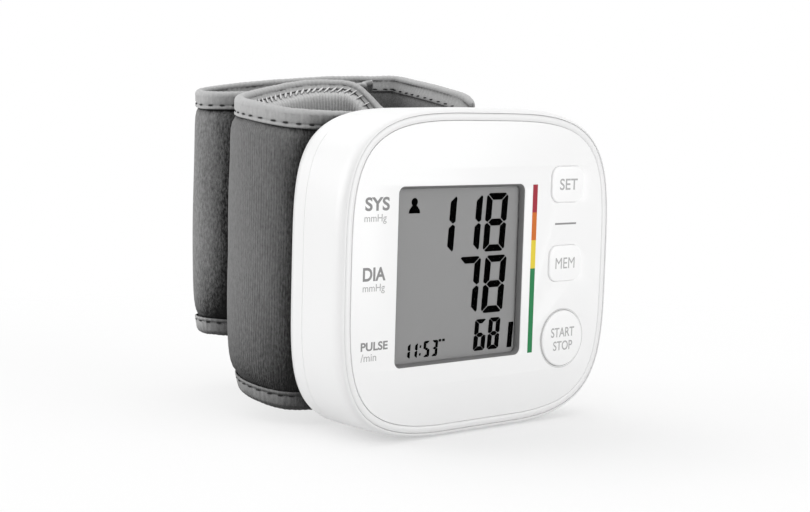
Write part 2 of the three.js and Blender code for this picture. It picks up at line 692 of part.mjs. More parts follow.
// Cuff layers, counted inwards from the outer face of the cover
const layers = {
  cover: [0, coverThickness],
  stiffener: [coverThickness + gap, coverThickness + gap + stiffenerThickness],
};
layers.bladder = [layers.stiffener[1] + gap, layers.stiffener[1] + gap + bladderThickness];
layers.lining = [layers.bladder[1] + gap, layers.bladder[1] + gap + liningThickness];
const loopThickness = layers.lining[1];
const bindingReach = gap + bindingThickness;
const loopFace = back + gap + bindingReach;
const bindingEdge = bindingThickness + gap;

// Rows of the routes: place across and behind the housing as shares of the loop's and strap's reach, then
// the heights of the top and bottom edges as shares of the cuff's width above its foot, then the bulge share.
const loopHalfWidth = 40.4;
const loopReach = 33;
const cuffWidth = 70;
const cuffFoot = 4.6;
const nearShares = [
  [0.374, 0, 1.012, 0, 0],
  [-0.34, 0, 1.012, 0, 0],
  [-0.6, 0, 1.012, 0, 0],
  [-0.88, 0.1, 1.02, 0, 0.6],
  [-1, 0.37, 1.045, 0.032, 1],
  [-0.93, 0.69, 1.055, 0.04, 1],
  [-0.6, 0.955, 1.072, 0.06, 0.9],
  [-0.22, 0.99, 1.1, 0.075, 0.8],
  [0.03, 0.83, 1.11, 0.075, 0.7],
  [0.12, 0.57, 1.03, 0.06, 0.5],
  [0.1, 0.31, 0.995, 0.05, 0.3],
];
const strapHalfWidth = 28.2;
const strapReach = 60;
const strapBase = back + gap + bindingReach - gap / 2;
const strapShares = [
  [0.68, 0, 1.078, 0.115, 0],
  [0.725, 0.27, 1.115, 0.13, 0.3],
  [0.785, 0.5, 1.138, 0.145, 0.3],
  [0.795, 0.575, 1.145, 0.15, 0],
  [0.69, 0.625, 1.145, 0.15, 0],
  [0.2, 0.73, 1.137, 0.155, 0.4],
  [-0.41, 0.88, 1.112, 0.15, 0.5],
  [-0.76, 0.985, 1.088, 0.145, 0.7],
  [-0.95, 0.97, 1.075, 0.145, 1],
  [-1, 0.875, 1.066, 0.145, 1],
  [-0.88, 0.79, 1.066, 0.142, 1],
  [-0.5, 0.69, 1.075, 0.14, 0.8],
  [-0.14, 0.62, 1.088, 0.138, 0.3],
  [0.17, 0.58, 1.1, 0.136, 0],
];

// Stations along a route: place, outward normal, edge heights and bulge. turn is +1 where the outside lies to
// the left of the way and -1 where it lies to the right.
function stations(shares, halfWidth, base, reach, turn, steps) {
  const plan = new THREE.CatmullRomCurve3(shares.map(([sx, sy]) => at(sx * halfWidth, base + sy * reach, 0)));
  const edges = new THREE.CatmullRomCurve3(shares.map(([, , top, foot, bulge]) =>
    at(cuffFoot + top * cuffWidth, cuffFoot + foot * cuffWidth, bulge)));
  const made = [];
  for (let i = 0; i <= steps; i++) {
    const t = i / steps;
    const place = plan.getPoint(t);
    const way = plan.getTangent(t);
    const edge = edges.getPoint(t);
    const out = at(-way.y * turn, way.x * turn, 0);
    made.push({ place, out, top: edge.x, foot: edge.y, bulge: Math.max(edge.z, 0) });
  }
  return made;
}

// Carries a section along stations: section(station) lists [outwards, height] corners. Where the cuff
// bulges it also draws in towards its foot, by cuffTaper.
function sweep(route, section) {
  return skin(route.map(s => section(s).map(([out, height]) => {
    const drawn = out - cuffTaper * s.bulge * ((s.top - height) / (s.top - s.foot)) ** 2;
    return at(s.place.x + s.out.x * drawn, s.place.y + s.out.y * drawn, height);
  })));
}

// Crowned cloth: its outer face swells between the bindings.
const swellRows = 6;
const swellPower = 5;
function crowned(route, inner, outer, bulge) {
  return sweep(route, s => {
    const low = s.foot + bindingWidth;
    const high = s.top - bindingWidth;
    const rows = [];
    for (let i = 0; i <= swellRows; i++) {
      const u = i / swellRows;
      const swell = 1 - Math.abs(2 * u - 1) ** swellPower;
      rows.push([-outer + s.bulge * bulge * swell, low + u * (high - low)]);
    }
    return [[-inner, s.foot + bindingEdge], [-outer, s.foot + bindingEdge], ...rows,
      [-outer, s.top - bindingEdge], [-inner, s.top - bindingEdge]];
  });
}

// Plain layer between two depths, with its edges held back by some margin.
const layer = (route, [outer, inner], margin) => sweep(route, s => [
  [-inner, s.foot + margin], [-outer, s.foot + margin], [-outer, s.top - margin], [-inner, s.top - margin]]);

// Binding: a folded tape with a rounded back over the edge of the cloth. side is +1 at the top and -1 at
// the foot.
const foldShare = 0.9;
function binding(route, thickness, side) {
  const near = gap + bindingThickness;
  const far = -thickness - near;
  const fold = bindingEdge * foldShare;
  const lip = bindingWidth - bindingThickness / 4;
  return sweep(route, s => {
    const edge = side > 0 ? s.top : s.foot;
    const corners = [[near, bindingWidth], [near, fold], [near - fold, 0], [far + fold, 0], [far, fold],
      [far, bindingWidth], [-thickness - gap, lip], [-thickness - gap, bindingThickness],
      [gap, bindingThickness], [gap, lip]];
    return corners.map(([out, down]) => [out, edge - side * down]);
  });
}

const nearSteps = 38;
const near = stations(nearShares, loopHalfWidth, loopFace, loopReach, 1, nearSteps);
const strapSteps = 42;
const strapRoute = stations(strapShares, strapHalfWidth, strapBase, strapReach, -1, strapSteps);

// Near half: cover, stiffener, bladder and ribbed lining, with holes for the retainer and the nozzle
function nearCover() {
  const through = loopFace + coverThickness + overrun / 4;
  let cover = solid(crowned(near, layers.cover[1], layers.cover[0], loopBulge));
  for (const [x, z] of pegPlaces) {
    cover = cover.subtract(solid(roundY(x, z, back, through, retainerPegRadius + gap)));
  }
  return cover.subtract(solid(nozzleBar(back, through, nozzleRadius + gap)));
}
cuff.add(part('near_cover', nearCover(), finish(colours.cloth, 0.95)));
const stiffenerStart = Math.round(nearSteps * stiffenerShare);
cuff.add(part('stiffener', layer(near.slice(stiffenerStart), layers.stiffener, bindingWidth + gap),
  finish(colours.clear, 0.5)));
const bladderRoute = near.slice(bladderEnds, nearSteps - bladderEnds);
cuff.add(part('air_bladder', layer(bladderRoute, layers.bladder, bindingWidth + gap),
  finish(colours.bladder, 0.6)));
cuff.add(part('near_lining', layer(near, layers.lining, bindingEdge), finish(colours.lining, 0.95)));
cuff.add(part('near_top_binding', binding(near, loopThickness, 1), finish(colours.binding, 0.9)));
cuff.add(part('near_foot_binding', binding(near, loopThickness, -1), finish(colours.binding, 0.9)));

// Retainer plate inside the cuff, with four pegs into the rear case
function cuffRetainer() {
  const face = loopFace + layers.stiffener[0];
  let plate = solid(roundedBlock(manifoldX, airLineZ, retainerWidth, retainerHeight, keyCorner, face,
    face + stiffenerThickness));
  for (const [x, z] of pegPlaces) {
    plate = plate.add(solid(roundY(x, z, rearInside, face + stiffenerThickness / 2, retainerPegRadius)));
  }
  return plate.subtract(solid(nozzleBar(face - overrun, face + stiffenerThickness + overrun,
    nozzleRadius + gap)));
}
housing.add(part('cuff_retainer', cuffRetainer(), finish(colours.black, 0.5)));

// Air nozzle from the manifold to the bladder
function airNozzle() {
  const end = loopFace + layers.bladder[0] - gap;
  return solid(nozzleBar(manifoldBack + gap, end, nozzleRadius))
    .subtract(solid(nozzleBar(manifoldBack, end + overrun, nozzleBore)));
}
housing.add(part('air_nozzle', airNozzle(), finish(colours.rubber, 0.6)));

// Far half: the strap, its bindings and the hook patch on its free end
cuff.add(part('strap', crowned(strapRoute, strapThickness, 0, strapBulge), finish(colours.cloth, 0.95)));
cuff.add(part('strap_top_binding', binding(strapRoute, strapThickness, 1), finish(colours.binding, 0.9)));
cuff.add(part('strap_foot_binding', binding(strapRoute, strapThickness, -1), finish(colours.binding, 0.9)));
const hookStart = Math.round(strapSteps * hookShare);
const hookFoot = gap + strapBulge * hookBulgeShare;
cuff.add(part('hook_patch', layer(strapRoute.slice(hookStart), [-hookFoot - hookThickness, -hookFoot],
  bindingWidth + gap), finish(colours.black, 0.9)));

const monitor = new THREE.Group();
monitor.add(housing, cuff);
export default monitor;
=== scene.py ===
# Wrist blood pressure monitor: its looks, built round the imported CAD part.
# Sizes are in millimetres in the part's frame; what puts points into a mesh turns them to metres.
import math

import bmesh
import bpy
import numpy as np
from mathutils import Matrix, Vector


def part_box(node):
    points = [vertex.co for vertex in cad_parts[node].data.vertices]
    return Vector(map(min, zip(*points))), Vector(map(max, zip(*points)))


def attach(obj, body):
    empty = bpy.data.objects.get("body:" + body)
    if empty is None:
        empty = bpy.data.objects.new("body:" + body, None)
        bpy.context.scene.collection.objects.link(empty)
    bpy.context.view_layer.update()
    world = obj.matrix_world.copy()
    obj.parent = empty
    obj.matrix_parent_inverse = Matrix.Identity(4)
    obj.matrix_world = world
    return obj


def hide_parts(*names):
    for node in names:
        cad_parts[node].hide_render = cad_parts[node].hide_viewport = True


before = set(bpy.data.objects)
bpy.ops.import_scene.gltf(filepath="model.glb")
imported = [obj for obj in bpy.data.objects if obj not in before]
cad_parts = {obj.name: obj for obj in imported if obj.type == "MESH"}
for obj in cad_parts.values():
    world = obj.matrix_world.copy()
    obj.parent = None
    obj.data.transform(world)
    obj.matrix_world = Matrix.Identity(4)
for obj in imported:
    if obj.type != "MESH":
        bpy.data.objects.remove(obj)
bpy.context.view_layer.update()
scene = bpy.context.scene

# Front shell of the housing: the white bucket that carries everything else.
# It is injection moulded in ABS with a fine satin grain, and screws hold it to the rear shell.
# Metres in a millimetre.
MM = 0.001
# Its outline is a superellipse, whose power and draft change from the front edge to the back.
FRONT_POWER, REAR_POWER = 3.8, 4.4
SIDE_DRAFT, TOP_DRAFT = 2.25, 0.8
FOOT_FLAT = 0.12
WALL = 1.8
FRONT_EDGE_DEPTH, FRONT_EDGE_INSET = 3.0, 1.15
# A groove inside the rounded edge holds the trim ring, and a ledge in it carries the panel.
GROOVE_INSET, GROOVE_LIP = 1.25, 0.25
LEDGE_INSET, LEDGE_DEPTH, LEDGE_BACK = 3.2, 1.1, 3.1
# The shells part this far ahead of the door, each SEAM short of the middle, with chamfered edges.
SEAM_AHEAD, SEAM, SEAM_CHAMFER = 0.15, 0.03, 0.05
OUTLINE_STEPS, EDGE_STEPS, SIDE_ROWS = 288, 14, 6
# Edges that turn by more degrees than this stay crisp.
CREASE = 35
low, high = (np.array(corner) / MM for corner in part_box("front_case"))
half_width, front_y = high[0], low[1]
half_height = (high[2] + FOOT_FLAT) / 2
split_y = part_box("battery_door")[0].y / MM
back_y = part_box("rear_case")[1].y / MM


def outline(inset, y):
    """Superellipse |x/a|^p + |z/b|^p = 1, moved in by inset along its normal, with its foot cut flat; behind
    the front edge a and b shrink by the draft and p grows, in proportion to the depth y."""
    share = max(0, y - front_y - FRONT_EDGE_DEPTH) / (back_y - front_y - FRONT_EDGE_DEPTH)
    power = FRONT_POWER + (REAR_POWER - FRONT_POWER) * share
    a, b = half_width - SIDE_DRAFT * share, half_height - TOP_DRAFT * share / 2
    angle = np.linspace(0, 2 * np.pi, OUTLINE_STEPS, endpoint=False)
    c, s = np.cos(angle), np.sin(angle)
    x = a * np.sign(c) * np.abs(c) ** (2 / power)
    z = b * np.sign(s) * np.abs(s) ** (2 / power)
    nx = np.sign(x) * np.abs(x / a) ** (power - 1) / a
    nz = np.sign(z) * np.abs(z / b) ** (power - 1) / b
    length = np.hypot(nx, nz)
    z = np.maximum(z - inset * nz / length, -b + FOOT_FLAT + inset) + b - FOOT_FLAT
    return np.stack([x - inset * nx / length, np.full_like(x, y), z], -1)


def stack(rows):
    """Grid of outlines: row i is the outline moved in by rows[i][0], at depth rows[i][1]."""
    return np.array([outline(inset, y) for inset, y in rows])


def quarter(inset0, y0, inset1, y1, steps, bulge_first):
    """Quarter of an ellipse from (inset0, y0) to (inset1, y1) that leaves along the depth if bulge_first."""
    t = np.linspace(0, np.pi / 2, steps + 1)
    a, b = (1 - np.cos(t), np.sin(t)) if bulge_first else (np.sin(t), 1 - np.cos(t))
    return list(zip(inset0 + (inset1 - inset0) * a, y0 + (y1 - y0) * b))


def quads(rows, cols, along=False, around=True):
    """Faces of a grid of points, each as the numbers of its four corners in turn. The last row joins the
    first if along, and the last column joins the first if around."""
    i, j = np.meshgrid(np.arange(rows if along else rows - 1), np.arange(cols if around else cols - 1),
                       indexing="ij")
    i2, j2 = (i + 1) % rows, (j + 1) % cols
    return np.stack([i * cols + j, i * cols + j2, i2 * cols + j2, i2 * cols + j], -1).reshape(-1, 4)


def surface(name, grid, along=False, caps=False, uv=None, sharp=CREASE):
    """Mesh through a grid of points whose rows are closed rings. The last row joins the first if along, and
    flat ends close it if caps. uv is a grid of (u, v) with one column more, where the ring closes."""
    rows, cols = grid.shape[:2]
    faces = quads(rows, cols, along).tolist()
    if caps:
        faces += [list(range(cols)), list(range((rows - 1) * cols, rows * cols))]
    mesh = bpy.data.meshes.new(name)
    mesh.from_pydata((grid.reshape(-1, 3) * MM).tolist(), [], faces)
    if uv is not None:
        corners = uv.reshape(-1, 2)[quads(*uv.shape[:2], around=False)].reshape(-1, 2)
        flat = np.zeros((len(mesh.loops), 2))
        flat[:len(corners)] = corners
        mesh.uv_layers.new(name="cloth").data.foreach_set("uv", flat.ravel())
    return place(name, mesh, sharp)


def place(name, mesh, sharp=CREASE):
    """Object of a mesh whose faces are turned outwards and whose edges steeper than sharp degrees stay crisp."""
    shape = bmesh.new()
    shape.from_mesh(mesh)
    bmesh.ops.recalc_face_normals(shape, faces=shape.faces)
    shape.to_mesh(mesh)
    shape.free()
    mesh.shade_smooth()
    mesh.set_sharp_from_angle(angle=math.radians(sharp))
    obj = bpy.data.objects.new(name, mesh)
    scene.collection.objects.link(obj)
    return obj


def add(tree, kind, inputs=None, **settings):
    """Adds a node with its settings; each input is a value or the socket that feeds it."""
    made = tree.nodes.new("ShaderNode" + kind)
    for key, value in settings.items():
        setattr(made, key, value)
    for key, value in (inputs or {}).items():
        if isinstance(value, bpy.types.NodeSocket):
            tree.links.new(value, made.inputs[key])
        else:
            made.inputs[key].default_value = value
    return made


def linear(hexcode):
    """Linear RGBA of an sRGB hex colour, by the sRGB standard's own curve."""
    srgb = np.array([int(hexcode[k:k + 2], 16) for k in (1, 3, 5)]) / 255
    rgb = np.where(srgb <= 0.04045, srgb / 12.92, ((srgb + 0.055) / 1.055) ** 2.4)
    return (*rgb.tolist(), 1.0)


def material(name, hexcode, roughness, **sockets):
    """New material with its node tree and shader; sockets are more of the shader's own inputs."""
    made = bpy.data.materials.new(name)
    made.use_nodes = True
    tree = made.node_tree
    shader = tree.nodes["Principled BSDF"]
    shader.inputs["Base Color"].default_value = linear(hexcode)
    shader.inputs["Roughness"].default_value = roughness
    for key, value in sockets.items():
        shader.inputs[key.replace("_", " ")].default_value = value
    return made, tree, shader


GRAIN_STRENGTH, SMOOTHEST, ROUGHEST = 0.35, 0.9, 1.12


def grained(name, hexcode, roughness, grain, depth, **sockets):
    """Material with a random grain of that width and depth in millimetres; its roughness varies with the grain,
    from SMOOTHEST to ROUGHEST times what is given."""
    made, tree, shader = material(name, hexcode, roughness, **sockets)
    where = add(tree, "TexCoord")
    noise = add(tree, "TexNoise", {"Vector": where.outputs["Object"], "Scale": 1 / (grain * MM), "Detail": 3.0})
    bump = add(tree, "Bump", {"Height": noise.outputs["Fac"], "Strength": GRAIN_STRENGTH, "Distance": depth * MM})
    tree.links.new(bump.outputs["Normal"], shader.inputs["Normal"])
    mottle = add(tree, "MapRange", {"Value": noise.outputs["Fac"], "To Min": roughness * SMOOTHEST,
                                    "To Max": min(1.0, roughness * ROUGHEST)})
    tree.links.new(mottle.outputs["Result"], shader.inputs["Roughness"])
    return made


def dress(obj, look, body, slot, *nodes):
    """Gives a piece its material and body, and hides the CAD nodes that it stands for; slot is not used."""
    obj.data.materials.clear()
    obj.data.materials.append(look)
    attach(obj, body)
    if nodes:
        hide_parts(*nodes)
    return obj


# Moulded ABS, satin white: its spark-eroded grain only softens the highlights.
ABS_IOR = 1.53
abs_white = grained("moulded ABS, satin white", "#eeeeee", 0.34, 0.45, 0.01, IOR=ABS_IOR)

ledge_y, seam_y = front_y + LEDGE_DEPTH, split_y - SEAM_AHEAD - SEAM
side_start, side_end = front_y + FRONT_EDGE_DEPTH + 1, split_y - 1.5
front_rows = [(LEDGE_INSET, ledge_y), (GROOVE_INSET, ledge_y), (GROOVE_INSET, front_y + GROOVE_LIP)]
front_rows += quarter(FRONT_EDGE_INSET, front_y, 0, front_y + FRONT_EDGE_DEPTH, EDGE_STEPS, False)
front_rows += [(0, y) for y in np.linspace(side_start, side_end, SIDE_ROWS)]
front_rows += [(0, seam_y - SEAM_CHAMFER), (SEAM_CHAMFER, seam_y), (WALL, seam_y),
               (WALL, front_y + LEDGE_BACK), (LEDGE_INSET, front_y + LEDGE_BACK)]
front_shell = surface("front_shell", stack(front_rows), along=True)
dress(front_shell, abs_white, "housing", "case_white", "front_case")

# Trim ring: a bright rounded bead of moulded ABS.
# It is pressed into the groove between the front shell and the front panel.
BEAD_LEFT, BEAD_WIDTH, BEAD_FOOT, BEAD_STEPS = 1.31, 1.64, 0.95, 17
# The bead's edges lie BEAD_SUNK under the front, and its crest rises by BEAD_RISE.
BEAD_SUNK, BEAD_RISE = 0.3, 0.375
turn = np.linspace(0, np.pi, BEAD_STEPS)
bead = list(zip(BEAD_LEFT + BEAD_WIDTH / 2 * (1 - np.cos(turn)), front_y + BEAD_SUNK - BEAD_RISE * np.sin(turn)))
bead += [(BEAD_LEFT + BEAD_WIDTH, front_y + BEAD_FOOT), (BEAD_LEFT, front_y + BEAD_FOOT)]
trim = surface("trim_bead", stack(bead), along=True)
# The same ABS from a finer tool: glossier, so that a bright line runs along its crest.
abs_trim = grained("moulded ABS, bright trim", "#e9e9e9", 0.24, 0.5, 0.004, IOR=ABS_IOR)
dress(trim, abs_trim, "housing", "trim_grey", "trim_ring")

# Front panel: a flat white plate with openings for the display and the keys.
# It is cut from hard-coated acrylic sprayed white behind, and is glued to the front shell.
PANEL_INSET, PANEL_THICKNESS, PANEL_BEVEL, BEVEL_STEPS = 3.02, 1.0, 0.12, 3
DISPLAY_X, DISPLAY_DROP = -7.2, 0.23
DISPLAY_WIDTH, DISPLAY_HEIGHT, DISPLAY_CORNER = 39.52, 41.65, 1.7
display_z = half_height - FOOT_FLAT - DISPLAY_DROP
KEY_X, SET_Z, MEM_Z, START_Z = 26.9, 58.8, 39.2, 20.37
KEY_WIDTH, KEY_HEIGHT, KEY_CORNER, START_RADIUS = 10.6, 8.5, 2.4, 6.9
# Each hole is larger all round than its key's nominal size.
KEY_HOLE, START_HOLE = 0.25, 0.3
CORNER_STEPS, CIRCLE_STEPS, DOT_STEPS = 12, 96, 24
# Points nearer than this, in metres, are one point.
WELD = 1e-7


def rounded(x, z, width, height, corner):
    """Rectangle of that width and height about (x, z) whose corners are quarter circles."""
    turn = np.linspace(0, np.pi / 2, CORNER_STEPS + 1)
    points = []
    for k, (sx, sz) in enumerate([(1, 1), (-1, 1), (-1, -1), (1, -1)]):
        cx, cz = x + sx * (width / 2 - corner), z + sz * (height / 2 - corner)
        points.append(np.stack([cx + corner * np.cos(turn + k * np.pi / 2),
                                cz + corner * np.sin(turn + k * np.pi / 2)], -1))
    return np.concatenate(points)


def circle(x, z, radius, steps=CIRCLE_STEPS):
    """Ring of points at radius about (x, z)."""
    angle = np.linspace(0, 2 * np.pi, steps, endpoint=False)
    return np.stack([x + radius * np.cos(angle), z + radius * np.sin(angle)], -1)


def meshed(name, curve):
    """Mesh of a flat curve or text, and its points, one row of x, y and z each, in metres."""
    source = bpy.data.objects.new(name, curve)
    scene.collection.objects.link(source)
    bpy.context.view_layer.update()
    mesh = bpy.data.meshes.new_from_object(source.evaluated_get(bpy.context.evaluated_depsgraph_get()))
    bpy.data.objects.remove(source)
    points = np.zeros(len(mesh.vertices) * 3)
    mesh.vertices.foreach_get("co", points)
    return mesh, points.reshape(-1, 3)


def plate(name, loops, y0, y1, bevel=0.0):
    """Upright plate between depths y0 and y1, inside the first loop and outside the others, edges rounded."""
    flat = bpy.data.curves.new(name, "CURVE")
    flat.dimensions, flat.fill_mode = "2D", "BOTH"
    flat.extrude = ((y1 - y0) / 2 - bevel) * MM
    flat.bevel_depth, flat.bevel_resolution, flat.offset = bevel * MM, BEVEL_STEPS, -bevel * MM
    for loop in loops:
        spline = flat.splines.new("POLY")
        spline.use_cyclic_u = True
        spline.points.add(len(loop) - 1)
        co = np.ones((len(loop), 4))
        co[:, 0], co[:, 1], co[:, 2] = loop[:, 0] * MM, loop[:, 1] * MM, 0
        spline.points.foreach_set("co", co.ravel())
    mesh, co = meshed(name, flat)
    mesh.vertices.foreach_set("co", np.stack([co[:, 0], (y0 + y1) / 2 * MM - co[:, 2], co[:, 1]], -1).ravel())
    shape = bmesh.new()
    shape.from_mesh(mesh)
    bmesh.ops.remove_doubles(shape, verts=shape.verts, dist=WELD)
    shape.to_mesh(mesh)
    shape.free()
    return place(name, mesh)


keys_at = {"set": SET_Z, "mem": MEM_Z}
panel_loops = [outline(PANEL_INSET, front_y)[:, [0, 2]],
               rounded(DISPLAY_X, display_z, DISPLAY_WIDTH, DISPLAY_HEIGHT, DISPLAY_CORNER)]
panel_loops += [rounded(KEY_X, z, KEY_WIDTH + 2 * KEY_HOLE, KEY_HEIGHT + 2 * KEY_HOLE, KEY_CORNER + KEY_HOLE)
                for z in keys_at.values()]
panel_loops.append(circle(KEY_X, START_Z, START_RADIUS + START_HOLE))
panel = plate("panel", panel_loops, front_y, front_y + PANEL_THICKNESS, PANEL_BEVEL)
# Hard-coated acrylic over white paint: a clear, nearly even reflection of the studio.
acrylic_white = grained("hard-coated acrylic, backed white", "#f2f2f2", 0.2, 0.6, 0.002, IOR=1.49)
dress(panel, acrylic_white, "housing", "panel_white", "front_panel")

# Display gasket: the dark wall of the display's recess.
# It is a strip of moulded foam rubber that keeps dust off the window.
GASKET_LIP, GASKET_SLOPE, GASKET_TURN = 0.28, 0.35, 0.6
GASKET_FRONT, GASKET_STEP, GASKET_BACK = 0.16, 0.3, 1.28
gasket_rows = []
for margin, depth in [(0, GASKET_FRONT), (GASKET_LIP, GASKET_STEP), (GASKET_LIP + GASKET_SLOPE, GASKET_BACK),
                      (0, GASKET_BACK)]:
    ring = rounded(DISPLAY_X, display_z, DISPLAY_WIDTH - 2 * margin, DISPLAY_HEIGHT - 2 * margin,
                   DISPLAY_CORNER - margin * GASKET_TURN)
    gasket_rows.append(np.stack([ring[:, 0], np.full(len(ring), front_y + depth), ring[:, 1]], -1))
gasket = surface("display_gasket", np.array(gasket_rows), along=True, sharp=60)
# Foam rubber: dull, so that the recess reads as one dark line.
rubber_dark = grained("moulded foam rubber, dark grey", "#6a6a6a", 0.6, 0.3, 0.01)
dress(gasket, rubber_dark, "housing", "lcd_grey")

# Display window and liquid crystal panel: a clear pane over a grey reflective glass sandwich.
# The pane is anti-glare coated, so that it hardly reflects, and the digits show black.
WINDOW_DEPTH, WINDOW_THICKNESS, WINDOW_SHORT = 1.3, 0.25, 0.4
GLASS_MARGIN, GLASS_GAP, GLASS_THICKNESS, GLASS_CORNER = 1.3, 0.1, 2.2, 1.4
window_y = front_y + WINDOW_DEPTH
glass_y = window_y + WINDOW_THICKNESS + GLASS_GAP
glass_width, glass_height = DISPLAY_WIDTH + 2 * GLASS_MARGIN, DISPLAY_HEIGHT + 2 * GLASS_MARGIN
window = plate("window_pane", [rounded(DISPLAY_X, display_z, glass_width - WINDOW_SHORT, glass_height - WINDOW_SHORT,
                                       DISPLAY_CORNER)], window_y, window_y + WINDOW_THICKNESS)
# Anti-glare coated acrylic: almost nothing of the pane itself is seen.
clear = material("anti-glare coated acrylic pane", "#202020", 0.12, IOR=1.49, Specular_IOR_Level=0.02,
                 Alpha=0.03)[0]
dress(window, clear, "housing", "window_clear", "display_window")

lcd = plate("lcd_panel", [rounded(DISPLAY_X, display_z, glass_width, glass_height, GLASS_CORNER)],
            glass_y, glass_y + GLASS_THICKNESS)
# Reflective liquid crystal glass: the reflector's brushed grain, 0.35 mm wide, barely changes its even grey.
REFLECTOR_GRAIN = 0.35
glass_grey, glass_tree, glass_shader = material("reflective liquid crystal glass", "#979797", 0.55,
                                                Specular_IOR_Level=0.2)
glass_where = add(glass_tree, "TexCoord")
glass_noise = add(glass_tree, "TexNoise", {"Vector": glass_where.outputs["Object"],
                                           "Scale": 1 / (REFLECTOR_GRAIN * MM), "Detail": 2.0})
glass_mix = add(glass_tree, "Mix", {"Factor": glass_noise.outputs["Fac"], "A": linear("#959595"),
                                    "B": linear("#999999")}, data_type="RGBA")
glass_tree.links.new(glass_mix.outputs["Result"], glass_shader.inputs["Base Color"])
dress(lcd, glass_grey, "housing", "lcd_grey", "lcd_glass")

# Display segments: the crystal's printed electrodes, seen black where they are switched on.
# They make seven-segment digits that lean a little, a time of day and a plain user sign.
LEAN = 0.07
SEGMENT_AHEAD, SEGMENT_THICKNESS = 0.03, 0.02
# Gap between segments, for a level stroke 1 mm high; then the corners' chamfer and the side bars' waist
# and shoulder at the middle, as shares of the strokes.
SEGMENT_GAP, CHAMFER, WAIST, SHOULDER, WAIST_GAP = 0.05, 0.42, 0.25, 0.4, 0.7
SHAPES = {"1": "bc", "3": "abgcd", "5": "afgcd", "6": "afgedc", "7": "abc", "8": "abcdefg"}


def segment_bars(x0, x1, z0, z1, digit, across, up):
    """Outlines of a digit's lit segments in a cell: upright bars are across wide and level ones up high. The
    corners are mitred along their diagonals and chamfered, and the middle bar has pointed ends."""
    gap, mid = SEGMENT_GAP * up * up, (z0 + z1) / 2
    cut_x, cut_z = CHAMFER * across, CHAMFER * up
    bars = {}
    for name, edge, way in (("a", z1, -1), ("d", z0, 1)):
        bars[name] = [(x0 + cut_x / 2 + gap, edge + way * cut_z / 2), (x0 + cut_x + gap, edge),
                      (x1 - cut_x - gap, edge), (x1 - cut_x / 2 - gap, edge + way * cut_z / 2),
                      (x1 - across - gap, edge + way * up), (x0 + across + gap, edge + way * up)]
    for name, edge, way, end, rise in (("f", x0, 1, z1, -1), ("e", x0, 1, z0, 1), ("b", x1, -1, z1, -1),
                                       ("c", x1, -1, z0, 1)):
        bars[name] = [(edge + way * cut_x / 2, end + rise * (cut_z / 2 + gap)), (edge, end + rise * (cut_z + gap)),
                      (edge, mid - rise * (WAIST * up + gap)),
                      (edge + way * SHOULDER * across, mid - rise * gap * WAIST_GAP),
                      (edge + way * across, mid - rise * (up / 2 + gap)),
                      (edge + way * across, end + rise * (up + gap))]
    bars["g"] = [(x0 + across / 2 + gap, mid), (x0 + across + gap, mid + up / 2), (x1 - across - gap, mid + up / 2),
                 (x1 - across / 2 - gap, mid), (x1 - across - gap, mid - up / 2), (x0 + across + gap, mid - up / 2)]
    return [sheared(np.array(bars[name]), z0) for name in SHAPES[digit]]


def sheared(points, foot):
    """Points moved right in proportion to their height above foot."""
    return np.stack([points[:, 0] + LEAN * (points[:, 1] - foot), points[:, 1]], -1)


def box_loop(x0, x1, z0, z1):
    """Rectangle as a ring of four points."""
    return np.array([(x0, z0), (x1, z0), (x1, z1), (x0, z1)], float)


# Places are counted from DIGITS_RIGHT of the display's middle.
DIGITS_RIGHT = 1.15
# Widths of the upright and level strokes of each size of digit.
BIG, MIDDLE, SMALL = (1.95, 1.65), (1.4, 1.05), (0.8, 0.62)
# Digits: (x0, x1, foot, top, digit, strokes).
DIGITS = [
    (-8.9, -2.75, 4.7, 18.6, "1", BIG), (-0.7, 5.45, 4.8, 18.7, "1", BIG), (6.7, 13.7, 4.7, 18.7, "8", BIG),
    (-1.7, 5.4, -10.1, 3.75, "7", BIG), (6.8, 13.8, -10.1, 3.75, "8", BIG),
    (4.6, 8.4, -19.1, -11.5, "6", MIDDLE), (9.1, 12.9, -19.1, -11.4, "8", MIDDLE),
    (-18.5, -15.1, -19.3, -15.6, "1", SMALL), (-16.3, -12.9, -19.3, -15.6, "1", SMALL),
    (-11.1, -9.2, -19.2, -15.4, "5", SMALL), (-8.6, -6.7, -19.2, -15.4, "3", SMALL),
]
# The level bar and the time's colon lean like the digits: (x0, x1, z0, z1, foot that the lean is counted from).
LEANING = [(15.75, 17.35, -19.1, -12.9, -19.1), (-12.3, -11.8, -18.7, -18.1, -19),
           (-12.3, -11.8, -16.9, -16.3, -19)]
# The marks after the time stand upright: (x0, x1, z0, z1).
UPRIGHT = [(-6.3, -5.5, -15.9, -15.3), (-5.2, -4.4, -15.9, -15.3)]
# The user sign is a round head over sloping shoulders.
HEAD_X, HEAD_Z, HEAD_RADIUS = -14.9, 17.1, 0.95
SHOULDERS = [(-16.6, 14.5), (-13.2, 14.5), (-13.35, 15.3), (-14.2, 16.3), (-15.6, 16.3), (-16.45, 15.3)]
lit = []
for x0, x1, foot, top, digit, (across, up) in DIGITS:
    lit += segment_bars(x0, x1, foot, top, digit, across, up)
lit += [sheared(box_loop(x0, x1, z0, z1), foot) for x0, x1, z0, z1, foot in LEANING]
lit += [box_loop(*box) for box in UPRIGHT]
lit += [circle(HEAD_X, HEAD_Z, HEAD_RADIUS, DOT_STEPS), np.array(SHOULDERS)]
segment_y = glass_y - SEGMENT_AHEAD
segment_parts = [plate(f"segment_{n}", [loop + np.array([DISPLAY_X + DIGITS_RIGHT, display_z])],
                       segment_y, segment_y + SEGMENT_THICKNESS) for n, loop in enumerate(lit)]


